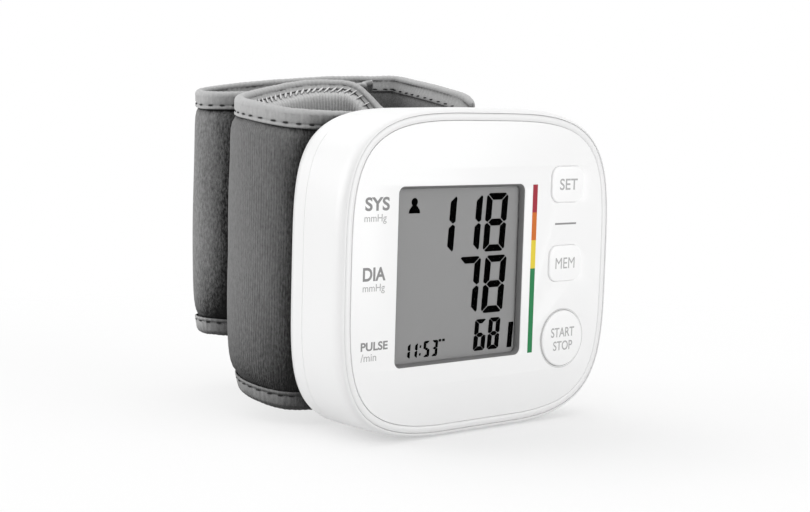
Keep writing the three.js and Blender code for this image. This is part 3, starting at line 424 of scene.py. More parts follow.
def joined(name, parts):
    """One object of several, in the first one's place."""
    mesh = bpy.data.meshes.new(name)
    shape = bmesh.new()
    for made in parts:
        shape.from_mesh(made.data)
        bpy.data.objects.remove(made)
    shape.to_mesh(mesh)
    shape.free()
    obj = bpy.data.objects.new(name, mesh)
    scene.collection.objects.link(obj)
    return obj


# Liquid crystal, switched on: it lets no light back out, and has no gloss under the pane.
crystal = material("liquid crystal, switched on", "#030303", 0.8, Specular_IOR_Level=0.0)[0]
dress(joined("display_segments", segment_parts), crystal, "housing", "lcd_grey")

# Keys: two rounded caps and a round one, each a solid cap of moulded ABS that stands a little proud.
# Each is printed with its name, and rides on its own spring dome behind the panel.
KEY_PROUD, CAP_BACK, CAP_ROUND, CAP_STEPS = 0.4, 3.2, 0.38, 6
# How much larger the caps are all round than the keys' nominal sizes, and how much rounder at the corners.
CAP_GROWTH, CAP_CORNER, START_GROWTH = 0.225, 0.2, 0.1
key_face = front_y - KEY_PROUD


def cap(name, ring):
    """Key cap: a ring carried forwards from CAP_BACK, rounded over by a quarter circle, closed flat."""
    centre = ring.mean(0)
    away = ring - centre
    reach = np.linalg.norm(away, axis=1, keepdims=True)
    rows = [(0, front_y + CAP_BACK)] + quarter(0, key_face + CAP_ROUND, CAP_ROUND, key_face, CAP_STEPS, True)
    grid = []
    for inset, y in rows:
        xz = centre + away * (1 - inset / reach)
        grid.append(np.stack([xz[:, 0], np.full(len(xz), y), xz[:, 1]], -1))
    return surface(name, np.array(grid), caps=True)


# ABS from a fine tool: a soft highlight along each key's rounded edge.
abs_key = grained("moulded ABS, key white", "#f4f4f4", 0.3, 0.4, 0.004, IOR=ABS_IOR)
for name, z in keys_at.items():
    ring = rounded(KEY_X, z, KEY_WIDTH + 2 * CAP_GROWTH, KEY_HEIGHT + 2 * CAP_GROWTH, KEY_CORNER + CAP_CORNER)
    dress(cap(f"{name}_cap", ring), abs_key, f"{name}_button", "key_white", f"{name}_key")
start_cap = cap("start_stop_cap", circle(KEY_X, START_Z, START_RADIUS + START_GROWTH))
dress(start_cap, abs_key, "start_button", "key_white", "start_stop_key")
# The key mat's lip fills the gap round the round key. Silicone rubber is dull, so it shows as an even grey ring.
LIP_INSIDE, LIP_OUTSIDE, LIP_FRONT, LIP_BACK = 0.12, 0.29, 0.1, 0.8
lip = plate("start_lip", [circle(KEY_X, START_Z, START_RADIUS + reach) for reach in (LIP_OUTSIDE, LIP_INSIDE)],
            front_y + LIP_FRONT, front_y + LIP_BACK)
dress(lip, grained("silicone rubber, grey lip", "#a8a8a8", 0.6, 0.3, 0.01), "housing", "silicone")

# Printed legends: flat ink on the panel and the keys, in condensed letters.
# They are generic words and units, pad printed in grey, with a four-colour result scale and a dash.
INK_THICKNESS = 0.012
INK_GRAIN, INK_DEPTH = 0.2, 0.002


def legend(name, words, x0, x1, z0, z1, y, weight):
    """Words as flat lettering that just fills the box x0..x1, z0..z1 on the plane at depth y. weight is how
    far the strokes are thickened, as a share of the letters' size."""
    text = bpy.data.curves.new(name, "FONT")
    text.body, text.offset = words, weight
    text.extrude = INK_THICKNESS / 2 * MM
    mesh, co = meshed(name, text)
    span, start = np.ptp(co, axis=0), co.min(0)
    x = x0 + (co[:, 0] - start[0]) / span[0] * (x1 - x0)
    z = z0 + (co[:, 1] - start[1]) / span[1] * (z1 - z0)
    depth = y - INK_THICKNESS / 2 - co[:, 2] / MM
    mesh.vertices.foreach_set("co", (np.stack([x, depth, z], -1) * MM).ravel())
    return place(name, mesh)


def ink(name, hexcode):
    """Matt pad-printing ink, whose cover changes faintly over 0.2 mm."""
    return grained(f"pad printed ink, {name}", hexcode, 0.55, INK_GRAIN, INK_DEPTH, Specular_IOR_Level=0.3)


ink_grey, ink_pale = ink("grey", "#8a8a8a"), ink("pale grey", "#adadad")
# How far the strokes are thickened. An M's inner corners are too narrow for a thicker stroke.
HEAVY, LIGHT, KEY_WEIGHT, M_WEIGHT = 0.028, 0.004, 0.011, 0.0
# Words on the panel: (name, words, x0, x1, z0, z1, weight, ink), and on the keys, with the key's body.
PANEL_WORDS = [
    ("legend_sys", "SYS", -36.65, -29.65, 53.85, 56.95, HEAVY, ink_grey),
    ("legend_dia", "DIA", -36.85, -30.3, 38.1, 41.2, HEAVY, ink_grey),
    ("legend_pulse", "PULSE", -36.95, -29.15, 22.3, 24.3, HEAVY, ink_grey),
    ("legend_sys_unit", "mmHg", -36.8, -30.45, 50.9, 53.1, LIGHT, ink_pale),
    ("legend_dia_unit", "mmHg", -36.8, -30.45, 35.2, 37.4, LIGHT, ink_pale),
    ("legend_pulse_unit", "/min", -36.9, -32.4, 19.9, 21.7, LIGHT, ink_pale),
]
for name, words, x0, x1, z0, z1, weight, look in PANEL_WORDS:
    dress(legend(name, words, x0, x1, z0, z1, front_y, weight), look, "housing", "panel_white")
KEY_WORDS = [
    ("legend_set", "SET", 24.0, 30.2, 57.4, 60.2, KEY_WEIGHT, "set_button"),
    ("legend_mem", "MEM", 23.5, 30.2, 37.9, 40.6, M_WEIGHT, "mem_button"),
    ("legend_start", "START", 22.9, 31.0, 20.7, 23.1, KEY_WEIGHT, "start_button"),
    ("legend_stop", "STOP", 23.8, 30.5, 17.35, 19.7, KEY_WEIGHT, "start_button"),
]
for name, words, x0, x1, z0, z1, weight, body in KEY_WORDS:
    dress(legend(name, words, x0, x1, z0, z1, key_face, weight), ink_pale, body, "key_white")
# Marks on the panel: a thin line round the start key's hole, a dash, and a bar that runs from green to red.
LINE_INSIDE, LINE_OUTSIDE = 0.46, 0.62
SCALE_LEFT, SCALE_RIGHT = 15.2, 16.8
MARKS = [
    ("start_line", [circle(KEY_X, START_Z, START_RADIUS + reach) for reach in (LINE_OUTSIDE, LINE_INSIDE)],
     "faint grey", "#c6c6c6"),
    ("dash", [box_loop(23.2, 30.6, 48.8, 49.25)], "mid grey", "#8e8e8e"),
    ("scale_red", [box_loop(SCALE_LEFT, SCALE_RIGHT, 52.1, 58.9)], "red", "#9b2334"),
    ("scale_orange", [box_loop(SCALE_LEFT, SCALE_RIGHT, 45.3, 52.1)], "orange", "#c96a22"),
    ("scale_yellow", [box_loop(SCALE_LEFT, SCALE_RIGHT, 38.4, 45.3)], "yellow", "#e0c93c"),
    ("scale_green", [box_loop(SCALE_LEFT, SCALE_RIGHT, 17.6, 38.4)], "green", "#1b7a47"),
]
for name, loops, tone, hexcode in MARKS:
    mark = plate(name, loops, front_y - INK_THICKNESS, front_y)
    dress(mark, ink(tone, hexcode), "housing", "panel_white")

# Rear shell and battery door: the rounded back, moulded in the same ABS.
# The door is the piece of the rounded side that slides off over the cells; the shell has sunk screw heads.
REAR_EDGE, REAR_STEPS = 5.6, 12
DOOR_THICKNESS, DOOR_GAP = 1.5, 0.15
# Cutters reach this far past the back: the door's block, the screws' holes and the grip's grooves.
PAST, HEAD_PAST, GRIP_PAST = 5, 3, 2
# A place to the right of the whole housing.
FAR = 60.0
SCREW_X, SCREW_Z = (-21.6, 11.6), (11.575, 65.025)
HEAD_HOLE, HEAD_SUNK, HEAD_STEPS = 2.1, 1.3, 48
GRIPS, GRIP_LEFT, GRIP_PITCH, GRIP_WIDTH, GRIP_HEIGHT, GRIP_ROUND, GRIP_DEPTH = 3, 29.1, 2.6, 1.2, 17.0, 0.59, 0.5


def back_shell(name, thickness):
    """Rounded-back shell: rows from the inner back to the seam, then outside to the back, both backs flat."""
    y = split_y - SEAM_AHEAD + SEAM
    inside = quarter(thickness, back_y - REAR_EDGE, REAR_EDGE, back_y - thickness, REAR_STEPS, True)[::-1]
    outside = quarter(0, back_y - REAR_EDGE, REAR_EDGE, back_y, REAR_STEPS, True)
    rows = inside + [(thickness, y), (SEAM_CHAMFER, y), (0, y + SEAM_CHAMFER)] + outside
    return surface(name, stack(rows), caps=True)


def carve(obj, cutter, operation="DIFFERENCE"):
    """Cuts obj with a closed cutter, or keeps only what both share, and drops the cutter."""
    cut = obj.modifiers.new("cut", "BOOLEAN")
    cut.object, cut.operation, cut.solver = cutter, operation, "EXACT"
    mesh = bpy.data.meshes.new_from_object(obj.evaluated_get(bpy.context.evaluated_depsgraph_get()))
    obj.modifiers.clear()
    obj.data = mesh
    bpy.data.objects.remove(cutter)
    mesh.set_sharp_from_angle(angle=math.radians(CREASE))


def door_block(name, margin):
    """Block that holds the door's piece of the housing, larger by margin at its left, foot and top."""
    door_low, door_high = (np.array(corner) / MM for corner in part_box("battery_door"))
    loop = box_loop(door_low[0] - margin, FAR, door_low[2] - margin, door_high[2] + margin)
    return plate(name, [loop], split_y - PAST, back_y + PAST)


rear_shell = back_shell("rear_shell", WALL)
carve(rear_shell, door_block("door_cut", DOOR_GAP))
heads = [plate(f"head_{x}_{z}", [circle(x, z, HEAD_HOLE, HEAD_STEPS)], back_y - HEAD_SUNK, back_y + HEAD_PAST)
         for x in SCREW_X for z in SCREW_Z]
carve(rear_shell, joined("screw_cut", heads))
dress(rear_shell, abs_white, "housing", "case_white", "rear_case")

door = back_shell("door_panel", DOOR_THICKNESS)
carve(door, door_block("door_keep", 0), "INTERSECT")
for n in range(GRIPS):
    middle = GRIP_LEFT + n * GRIP_PITCH + GRIP_WIDTH / 2
    carve(door, plate(f"grip_{n}", [rounded(middle, half_height, GRIP_WIDTH, GRIP_HEIGHT, GRIP_ROUND)],
                      back_y - GRIP_DEPTH, back_y + GRIP_PAST))
dress(door, abs_white, "door", "case_white", "battery_door")

# Inner parts: board, pump, valve, tubes, cells, contacts, screws and hook tape stay as the CAD made them.
# Each gets the finish of its real stock, which shows when the door slides off or the part is taken apart.
# A row gives a stock's colour, roughness, grain and its depth, then 1 for a metal, then its pieces.
STOCKS = {
    "moulded ABS, natural": ("#efefec", 0.45, 0.5, 0.01, 0.0, ["lcd_frame", "air_manifold"]),
    "silicone rubber": ("#cfcac2", 0.6, 0.4, 0.01, 0.0, ["zebra_strip", "key_mat", "pump_tube", "valve_tube",
                                                         "sensor_tube", "air_nozzle"]),
    "solder-masked glass epoxy": ("#1f6b3a", 0.35, 0.8, 0.006, 0.0, ["main_board"]),
    "moulded epoxy, black": ("#1d1d1f", 0.45, 0.5, 0.01, 0.0, ["controller_chip", "buzzer", "pressure_sensor",
                                                               "pump_head"]),
    "moulded nylon, black": ("#222224", 0.5, 0.5, 0.012, 0.0, ["cuff_retainer"]),
    "printed cell wrapper, blue": ("#3c6f9c", 0.3, 0.6, 0.003, 0.0, ["battery_left", "battery_right"]),
    "polyurethane film": ("#6f7880", 0.4, 0.9, 0.01, 0.0, ["air_bladder"]),
    "polypropylene sheet": ("#d8dde0", 0.4, 0.7, 0.006, 0.0, ["stiffener"]),
    "nickel plated steel": ("#c6c8cc", 0.28, 0.35, 0.004, 1.0,
                            ["pump_motor", "exhaust_valve", "valve_plunger", "foot_contact", "top_contact",
                             "foot_spring", "top_spring"] + [f"case_screw_{n}" for n in (1, 2, 3, 4)]),
    "turned brass": ("#b08d4a", 0.3, 0.3, 0.004, 1.0, ["pump_rotor"]),
    "hook tape, black nylon": ("#1d1d1f", 0.7, 0.6, 0.25, 0.0, ["hook_patch"]),
}
for stock, (*values, metallic, names) in STOCKS.items():
    look = grained(stock, *values, Metallic=metallic)
    for name in names:
        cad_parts[name].data.materials.clear()
        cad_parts[name].data.materials.append(look)

# Cuff, near half: a pad of brushed cloth over a stiffener and an air bladder, preformed into a ring.
# It is bolted through its base panel to the housing's back, and bound along both edges.
LOOP_HALF_WIDTH, LOOP_REACH, LOOP_THICKNESS = 41.0, 33.0, 4.6
LOOP_BULGE, LOOP_DRAW, LOOP_SOFTEN, NEAR_END = 1.95, 2.6, 2.6, 1.6
CUFF_WIDTH, CUFF_FOOT = 71.2, 3.4
BINDING_WIDTH, BINDING_THICKNESS, LAYER_GAP = 4.7, 0.7, 0.3
LOOP_FACE = back_y + 2 * LAYER_GAP + BINDING_THICKNESS
COVER_THICKNESS, RIM_THICKNESS = 1.0, 0.95
# The layers spread from the sewn edge's thickness to the full one between these distances from the edge.
RIM_START, RIM_SPREAD = 1.2, 4.6
# Steps along the line while it is worked out, and along the finished pad.
LINE_POINTS, LINE_STEP, PAD_STEP, END_ROWS = 3000, 0.3, 0.5, 7
# The sewing draws the cloth in at the foot by the pad's draw times this power of the share of its height.
DRAW_POWER, DRAW_LIMIT = 12, 1.2
# The end pieces close on a line END_SHARE of their length and END_DEEPER inside the cloth's face, but for
# a small flat at the very end, whose width comes from END_FLAT.
END_SHARE, END_DEEPER, END_FLAT = 0.25, 0.2, 0.004
# A worn end is crumpled over this length and this far down from its top, in waves with these divisors.
WORN_LENGTH, WORN_HEIGHT, WORN_WAVE, WORN_SLANT = 10, 5, 2.4, 1.7
# Place across and behind the housing, top and foot as shares of the cuff's width, then bulge share.
NEAR = np.array([
    (0.374, 0, 1.012, 0, 0), (-0.34, 0, 1.012, 0, 0), (-0.6, 0, 1.012, 0, 0), (-0.88, 0.1, 1.018, 0, 0.6),
    (-1, 0.37, 1.04, 0.02, 1), (-0.93, 0.69, 1.054, 0.035, 1), (-0.6, 0.955, 1.082, 0.06, 0.9),
    (-0.22, 1.0, 1.116, 0.075, 0.8), (0.02, 0.83, 1.119, 0.075, 0.7), (0.11, 0.57, 1.015, 0.06, 0.5),
    (0.09, 0.31, 0.98, 0.05, 0.3)])


def spline(points):
    """Centripetal Catmull-Rom spline through points, with equal steps of its parameter in every span."""
    ends = np.concatenate([[2 * points[0] - points[1]], points, [2 * points[-1] - points[-2]]])
    s = np.linspace(0, len(points) - 1, LINE_POINTS)
    k = np.minimum(s.astype(int), len(points) - 2)
    w = (s - k)[:, None]
    p0, p1, p2, p3 = ends[k], ends[k + 1], ends[k + 2], ends[k + 3]
    d0, d1, d2 = (np.linalg.norm(b - a, axis=1, keepdims=True) ** 0.5 for a, b in ((p0, p1), (p1, p2), (p2, p3)))
    # Points that coincide would divide by nothing, so that their spacing is taken from their neighbours.
    tiny = 0.01
    d1 = np.where(d1 < tiny, 1.0, d1)
    d0, d2 = np.where(d0 < tiny, d1, d0), np.where(d2 < tiny, d1, d2)
    t1 = ((p1 - p0) / d0 - (p2 - p0) / (d0 + d1) + (p2 - p1) / d1) * d1
    t2 = ((p2 - p1) / d1 - (p3 - p1) / (d1 + d2) + (p3 - p2) / d2) * d1
    return p1 + t1 * w + (-3 * p1 + 3 * p2 - 2 * t1 - t2) * w ** 2 + (2 * p1 - 2 * p2 + t1 + t2) * w ** 3


class Route:
    """A cuff half's line: its places, outward normals, edge heights and bulge shares at running lengths."""

    def __init__(self, shares, half, base, reach, turn, soften, end, draw):
        rows = np.concatenate([shares[:, :2] * (half, reach) + (0, base), CUFF_FOOT + shares[:, 2:4] * CUFF_WIDTH,
                               shares[:, 4:]], 1)
        # The place and the edges are splines of their own, over the same rows.
        fine = np.concatenate([spline(rows[:, :2]), spline(rows[:, 2:])], 1)
        run = np.concatenate([[0], np.cumsum(np.linalg.norm(np.diff(fine[:, :2], axis=0), axis=1))])
        self.length = np.linspace(0, run[-1], int(run[-1] / LINE_STEP) + 1)
        kept = np.stack([np.interp(self.length, run, column) for column in fine.T], -1)
        # A Gaussian softens the bends; past each end the line is turned over, so that its ends stay put.
        past = int(3 * soften / LINE_STEP)
        kernel = np.exp(-0.5 * (np.arange(-past, past + 1) * LINE_STEP / soften) ** 2)
        long = np.concatenate([2 * kept[0] - kept[past:0:-1], kept, 2 * kept[-1] - kept[-2:-past - 2:-1]])
        kept = np.stack([np.convolve(column, kernel / kernel.sum(), "valid") for column in long.T], -1)
        way = np.gradient(kept[:, :2], axis=0)
        way /= np.linalg.norm(way, axis=1, keepdims=True)
        self.plan, self.way, self.top, self.foot = kept[:, :2], way, kept[:, 2], kept[:, 3]
        self.out = np.stack([-way[:, 1] * turn, way[:, 0] * turn], -1)
        self.bulge = np.maximum(kept[:, 4], 0)
        self.whole, self.end, self.draw, self.crumple = self.length[-1], end, draw, 0.0

    def at(self, lengths):
        """The same line at other running lengths."""
        picked = object.__new__(Route)
        vars(picked).update(vars(self))
        for name in ("plan", "way", "out", "top", "foot", "bulge"):
            columns = np.atleast_2d(getattr(self, name).T)
            taken = np.stack([np.interp(lengths, self.length, column) for column in columns], -1)
            setattr(picked, name, taken if taken.shape[1] > 1 else taken[:, 0])
        picked.length = lengths
        return picked

    def closing(self, step):
        """The same line in equal steps, but finer over its end pieces, where carry() rounds it off."""
        turn = self.end * (1 - np.cos(np.linspace(0, np.pi / 2, END_ROWS + 1)[:-1]))
        middle = np.linspace(self.end, self.whole - self.end, int((self.whole - 2 * self.end) / step) + 1)
        return self.at(np.concatenate([turn, middle, self.whole - turn[::-1]]))

    def carry(self, out, height):
        """Points at distances out from the line and at heights. They are drawn in at the foot, and
        over the end pieces the distances close on the pad's middle along a quarter of a circle."""
        share = (self.top[:, None] - height) / (self.top - self.foot)[:, None]
        left = np.clip(np.minimum(self.length, self.whole - self.length) / self.end, 0, 1)[:, None]
        middle = -END_SHARE * self.end - END_DEEPER
        out = middle + (out - middle) * np.sqrt(np.maximum(1 - (1 - left) ** 2, END_FLAT))
        worn = np.clip(1 - (self.whole - self.length) / WORN_LENGTH, 0, 1)[:, None]
        worn = worn * np.exp((height - self.top[:, None]) / WORN_HEIGHT)
        out = out + self.crumple * worn * np.sin(WORN_WAVE * self.length[:, None] + height / WORN_SLANT)
        drawn = out - self.draw * self.bulge[:, None] * np.clip(share, 0, DRAW_LIMIT) ** DRAW_POWER
        xy = self.plan[:, None] + self.out[:, None] * drawn[..., None]
        return np.concatenate([xy, np.broadcast_to(height[..., None], xy.shape[:2] + (1,))], -1)


def thickened(down, rim, full):
    """Thickness at a distance from the sewn edge: rim up to RIM_START, full from RIM_SPREAD, by a smooth step."""
    t = np.clip((down - RIM_START) / (RIM_SPREAD - RIM_START), 0, 1)
    return rim + (full - rim) * t * t * (3 - 2 * t)


RIPPLE_COUNT, RIPPLE_LONGER, RIPPLE_LEVEL = 9, 0.35, 1.5


def ripples(along, up, size, seed):
    """Soft random waves, mostly between -1 and 1: a sum of sines in random directions, longer up the cloth."""
    rng = np.random.default_rng(seed)
    total = np.zeros(np.broadcast(along, up).shape)
    for _ in range(RIPPLE_COUNT):
        kx, kz = rng.normal(0, 1, 2) * (2 * np.pi / size) * (1.0, RIPPLE_LONGER)
        total += np.sin(kx * along + kz * up + rng.uniform(0, 2 * np.pi))
    return total / math.sqrt(RIPPLE_COUNT) / RIPPLE_LEVEL


# The cloth's own swell comes from Blender's Cloth, run at SIM_SCALE times the size, because its
# stiffness is meant for clothes. A point may move SIM_CAP outwards at most, and SIM_INWARD inwards.
SIM_SCALE, SIM_PRESSURE, SIM_SLACK, SIM_STEPS, SIM_PITCH = 10, 8.0, 0.003, 20, 2
SIM_CAP, SIM_INWARD = 0.8, 0.8 / 6
# Cloth whose bulge share is less than this lies flat on what carries it, and is held there.
FLAT_SHARE = 0.05


def blown(route, out, up):
    """How far each point of a cloth face moves outwards when it is sewn down along its bindings and where it
    lies flat, cut SIM_SLACK too long, and blown up from inside. It is simulated on a coarser grid, with every
    other point of its height, about SIM_PITCH apart along it."""
    rows = np.unique(np.linspace(0, len(out) - 1, int(route.length[-1] / SIM_PITCH)).astype(int))
    cols = np.arange(0, out.shape[1], 2)
    start = route.carry(out, up)[rows][:, cols]
    outward = np.concatenate([route.out, np.zeros((len(out), 1))], 1)[rows][:, None]
    n, m = start.shape[:2]
    mesh = bpy.data.meshes.new("blown")
    mesh.from_pydata((start.reshape(-1, 3) * MM * SIM_SCALE).tolist(), [], quads(n, m, around=False).tolist())
    sheet = bpy.data.objects.new("blown", mesh)
    scene.collection.objects.link(sheet)
    if mesh.polygons[n // 2 * (m - 1) + m // 2].normal.dot(Vector(outward[n // 2, 0])) < 0:
        mesh.flip_normals()
    sewn = (np.minimum(up - route.foot[:, None], route.top[:, None] - up) < BINDING_WIDTH)
    sewn |= route.bulge[:, None] < FLAT_SHARE
    sewn[[0, -1]] = True
    sheet.vertex_groups.new(name="sewn").add(np.flatnonzero(sewn[rows][:, cols]).tolist(), 1.0, "REPLACE")
    simulation = sheet.modifiers.new("cloth", "CLOTH")
    settings = simulation.settings
    settings.vertex_group_mass, settings.use_pressure = "sewn", True
    settings.uniform_pressure_force, settings.effector_weights.gravity = SIM_PRESSURE, 0
    settings.shrink_min = settings.shrink_max = -SIM_SLACK
    simulation.point_cache.frame_start, simulation.point_cache.frame_end = 1, SIM_STEPS
    for step in range(1, SIM_STEPS + 1):
        scene.frame_set(step)
    moved = np.zeros(n * m * 3)
    sheet.evaluated_get(bpy.context.evaluated_depsgraph_get()).data.vertices.foreach_get("co", moved)
    moved = ((moved.reshape(n, m, 3) / MM / SIM_SCALE - start) * outward).sum(-1)
    bpy.data.objects.remove(sheet)
    scene.frame_set(1)
    moved = np.clip(moved, -SIM_INWARD, SIM_CAP)
    moved = np.stack([np.interp(np.arange(len(out)), rows, column) for column in moved.T], -1)
    return np.stack([np.interp(np.arange(out.shape[1]), cols, row) for row in moved])


STITCH_PITCH, STITCH_DOWN = 3.0, 3.65
PAD_EDGE, PAD_ROWS = 1.0, 45
# The crown before it is blown up, as a share, and the distances over which it rises from each binding.
PRE_SWOLLEN, FOOT_RISE, TOP_RISE = 0.93, 1.9, 1.3
# Each stitch pulls a dent this deep, over this distance from a line just under the binding's lip.
DENT, PULL_REACH, PULL_UNDER = 0.16, 1.5, 0.5
# Soft waves: height, size, the share of them where the cloth lies flat, and the most that they may stand out.
WAVE, WAVE_SIZE, WAVE_FLAT, WAVE_CAP = 0.2, 16, 0.2, 0.3


def pad_section(route, thickness, bulge, seed):
    """Closed section of a crowned pad. The outer face swells by 1 - exp(-distance from the binding) and by its
    simulated blow, and is drawn in a little at each stitch; the inner face spreads from the sewn edge."""
    low, high = (route.foot + PAD_EDGE)[:, None], (route.top - PAD_EDGE)[:, None]
    u = 0.5 - 0.5 * np.cos(np.linspace(0, np.pi, PAD_ROWS))[None]
    up = low + u * (high - low)
    inside = BINDING_WIDTH - PAD_EDGE
    from_foot, from_top = np.clip(up - low - inside, 0, None), np.clip(high - inside - up, 0, None)
    swell = route.bulge[:, None] * bulge * (1 - np.exp(-from_foot / FOOT_RISE)) * (1 - np.exp(-from_top / TOP_RISE))
    from_edge = np.minimum(up - low, high - up)
    pull = np.exp(-np.minimum(from_foot, from_top) / PULL_REACH) * (from_edge > inside - PULL_UNDER)
    along = route.length[:, None]
    dent = DENT * pull * (0.5 + 0.5 * np.cos(2 * np.pi * along / STITCH_PITCH))
    wave = WAVE * ripples(along, up, WAVE_SIZE, seed) * np.minimum(route.bulge[:, None] + WAVE_FLAT, 1) * (1 - pull)
    outer = PRE_SWOLLEN * swell
    outer = outer + blown(route, outer, up) * np.minimum(route.bulge[:, None], 1) - dent + np.minimum(wave, WAVE_CAP)
    inner = -thickened(from_edge + PAD_EDGE, RIM_THICKNESS, thickness)
    return route.carry(np.concatenate([outer, inner[:, ::-1]], 1), np.concatenate([up, up[:, ::-1]], 1))


def cloth_uv(route, grid):
    """Running length and distance round the section, in metres, for each point of a carried section."""
    closed = np.concatenate([grid, grid[:, :1]], 1)
    steps = np.linalg.norm(np.diff(closed, axis=1), axis=2).mean(0)
    return np.stack(np.meshgrid(route.length, np.concatenate([[0], np.cumsum(steps)]), indexing="ij"), -1) * MM


# Width of a cloth's fuzz, how far off its folds shade it, and the scale at which a wave texture's pitch is 1.
FUZZ, FOLD_REACH, WAVE_SCALE = 0.25, 40, 0.314


def cloth(name, pale, dark, mottle, width, longer, relief, rib=0.0, rib_depth=0.0, shade=0.5):
    """Napped or woven cloth. Its tone goes from dark to pale with random specks of that width, drawn out
    upwards, and painted shade darkens it in its folds and near other parts; rib gives the pitch of raised lines
    across its running length."""
    made, tree, shader = material(name, pale, 0.95, Sheen_Weight=0.12, Sheen_Roughness=0.6, Specular_IOR_Level=0.1)
    where = add(tree, "TexCoord")
    drawn = add(tree, "Mapping", {"Vector": where.outputs["Object"], "Scale": (1.0, 1.0, 1 / longer)})
    specks = add(tree, "TexNoise", {"Vector": drawn.outputs["Vector"], "Scale": 1 / (width * MM), "Detail": 3.0,
                                    "Roughness": 0.65})
    fuzz = add(tree, "TexNoise", {"Vector": where.outputs["Object"], "Scale": 1 / (FUZZ * MM), "Detail": 2.0})
    # Painted shade: an ambient occlusion node darkens the colour in the folds and near other parts.
    depth = add(tree, "AmbientOcclusion", {"Distance": FOLD_REACH * MM}, samples=8)
    open_share = add(tree, "MapRange", {"Value": depth.outputs["AO"], "From Min": 0.3, "From Max": 0.95,
                                        "To Min": 1 - 2 * shade, "To Max": 1.0 - mottle / 2})
    speck = add(tree, "MapRange", {"Value": specks.outputs["Fac"], "From Min": 0.3, "From Max": 0.7,
                                   "To Min": -mottle, "To Max": mottle})
    both = add(tree, "Math", {0: open_share.outputs["Result"], 1: speck.outputs["Result"]},
               operation="ADD", use_clamp=True)
    tint = add(tree, "Mix", {"Factor": both.outputs["Value"], "A": linear(dark), "B": linear(pale)},
               data_type="RGBA")
    tree.links.new(tint.outputs["Result"], shader.inputs["Base Color"])
    height = fuzz.outputs["Fac"]
    if rib:
        lines = add(tree, "TexWave", {"Vector": where.outputs["UV"], "Scale": WAVE_SCALE / (rib * MM),
                                      "Distortion": 1.2, "Detail": 1.0, "Detail Scale": 0.3}, bands_direction="X")
        raised = add(tree, "Math", {0: lines.outputs["Fac"], 1: rib_depth}, operation="MULTIPLY")
        height = add(tree, "Math", {0: raised.outputs["Value"], 1: fuzz.outputs["Fac"]},
                     operation="ADD").outputs["Value"]
    bump = add(tree, "Bump", {"Height": height, "Strength": 0.7, "Distance": relief * MM})
    tree.links.new(bump.outputs["Normal"], shader.inputs["Normal"])
    return made


near_line = Route(NEAR, LOOP_HALF_WIDTH, LOOP_FACE, LOOP_REACH, 1, LOOP_SOFTEN, NEAR_END, LOOP_DRAW)
near = near_line.closing(PAD_STEP)
cover_grid = pad_section(near, COVER_THICKNESS, LOOP_BULGE, seed=4)
# Brushed loop knit: a dull mid grey with specks drawn out upwards, and painted shade that turns it nearly black in
# its folds.
brushed_knit = cloth("brushed loop knit, grey", "#7c7c7c", "#1a1a1a", 0.24, 0.42, 2.6, 0.2, 0.6, 0.7, shade=0.56)
cover = surface("near_cover_cloth", cover_grid, caps=True, uv=cloth_uv(near, cover_grid))
dress(cover, brushed_knit, "housing", "cloth_grey", "near_cover")

# Cuff lining: the ribbed inner face of the near half, which lies on the wrist.
# It is a light grey rib-knit nylon, laid over the bladder, puffed by it, and caught in the bindings.
LINING_THICKNESS, LINING_EDGE, LINING_RIM, LINING_RIM_OUTER = 0.9, 1.4, 1.3, 1.1
LINING_STEP, LINING_ROWS = 0.16, 49
# The puff rises over PUFF_RISE from the tape's inner leg, and is full where the loop bulges by 1 / PUFF_GAIN.
LINING_PUFF, PUFF_RISE, PUFF_GAIN, NEAR_INNER = 1.7, 4, 1.6, 2.6
RIB_PITCH, RIB_DEPTH = 1.15, 0.22
ribbed = near_line.closing(LINING_STEP)
lining_u = 0.5 - 0.5 * np.cos(np.linspace(0, np.pi, LINING_ROWS))[None]
lining_high = (ribbed.top - ribbed.foot - 2 * LINING_EDGE)[:, None]
lining_up = (ribbed.foot + LINING_EDGE)[:, None] + lining_u * lining_high
lining_down = LINING_EDGE + np.minimum(lining_u, 1 - lining_u) * lining_high
rib_wave = RIB_DEPTH * (0.5 + 0.5 * np.cos(2 * np.pi * ribbed.length / RIB_PITCH))[:, None]
# The base panel is bolted down flat, so that the puff starts beside it.
puffed = (LINING_PUFF * (1 - np.exp(-np.clip(lining_down - NEAR_INNER, 0, None) / PUFF_RISE))
          * np.minimum(ribbed.bulge[:, None] * PUFF_GAIN, 1))
lining_in = -thickened(lining_down, LINING_RIM, LOOP_THICKNESS) - puffed - rib_wave + RIB_DEPTH
lining_out = -thickened(lining_down, LINING_RIM_OUTER, LOOP_THICKNESS - LINING_THICKNESS)
lining_grid = ribbed.carry(np.concatenate([lining_out, lining_in[:, ::-1]], 1),
                           np.concatenate([lining_up, lining_up[:, ::-1]], 1))
# Rib-knit nylon: pale, with its ribs as real ridges and a fine soft fuzz on them.
rib_knit = cloth("rib-knit nylon, light grey", "#dadada", "#565656", 0.1, 0.35, 1.5, 0.08, shade=0.42)
lining = surface("near_lining_cloth", lining_grid, caps=True, sharp=80)
dress(lining, rib_knit, "housing", "cloth_lining", "near_lining")

# Bindings: a soft woven tape folded over the pad's top and foot edges and sewn through.
# The tape is a lighter grey than the cloth, its fold makes a rolled rim, and its stitches sit in a groove.
RIM_STEPS, LEG_STEPS = 15, 7
RIM_INSIDE, RIM_FOLD, LIP = 1.85, 1.35, 0.5
STITCH_GROOVE, STITCH_LENGTH, STITCH_RADIUS = 0.27, 1.4, 0.16
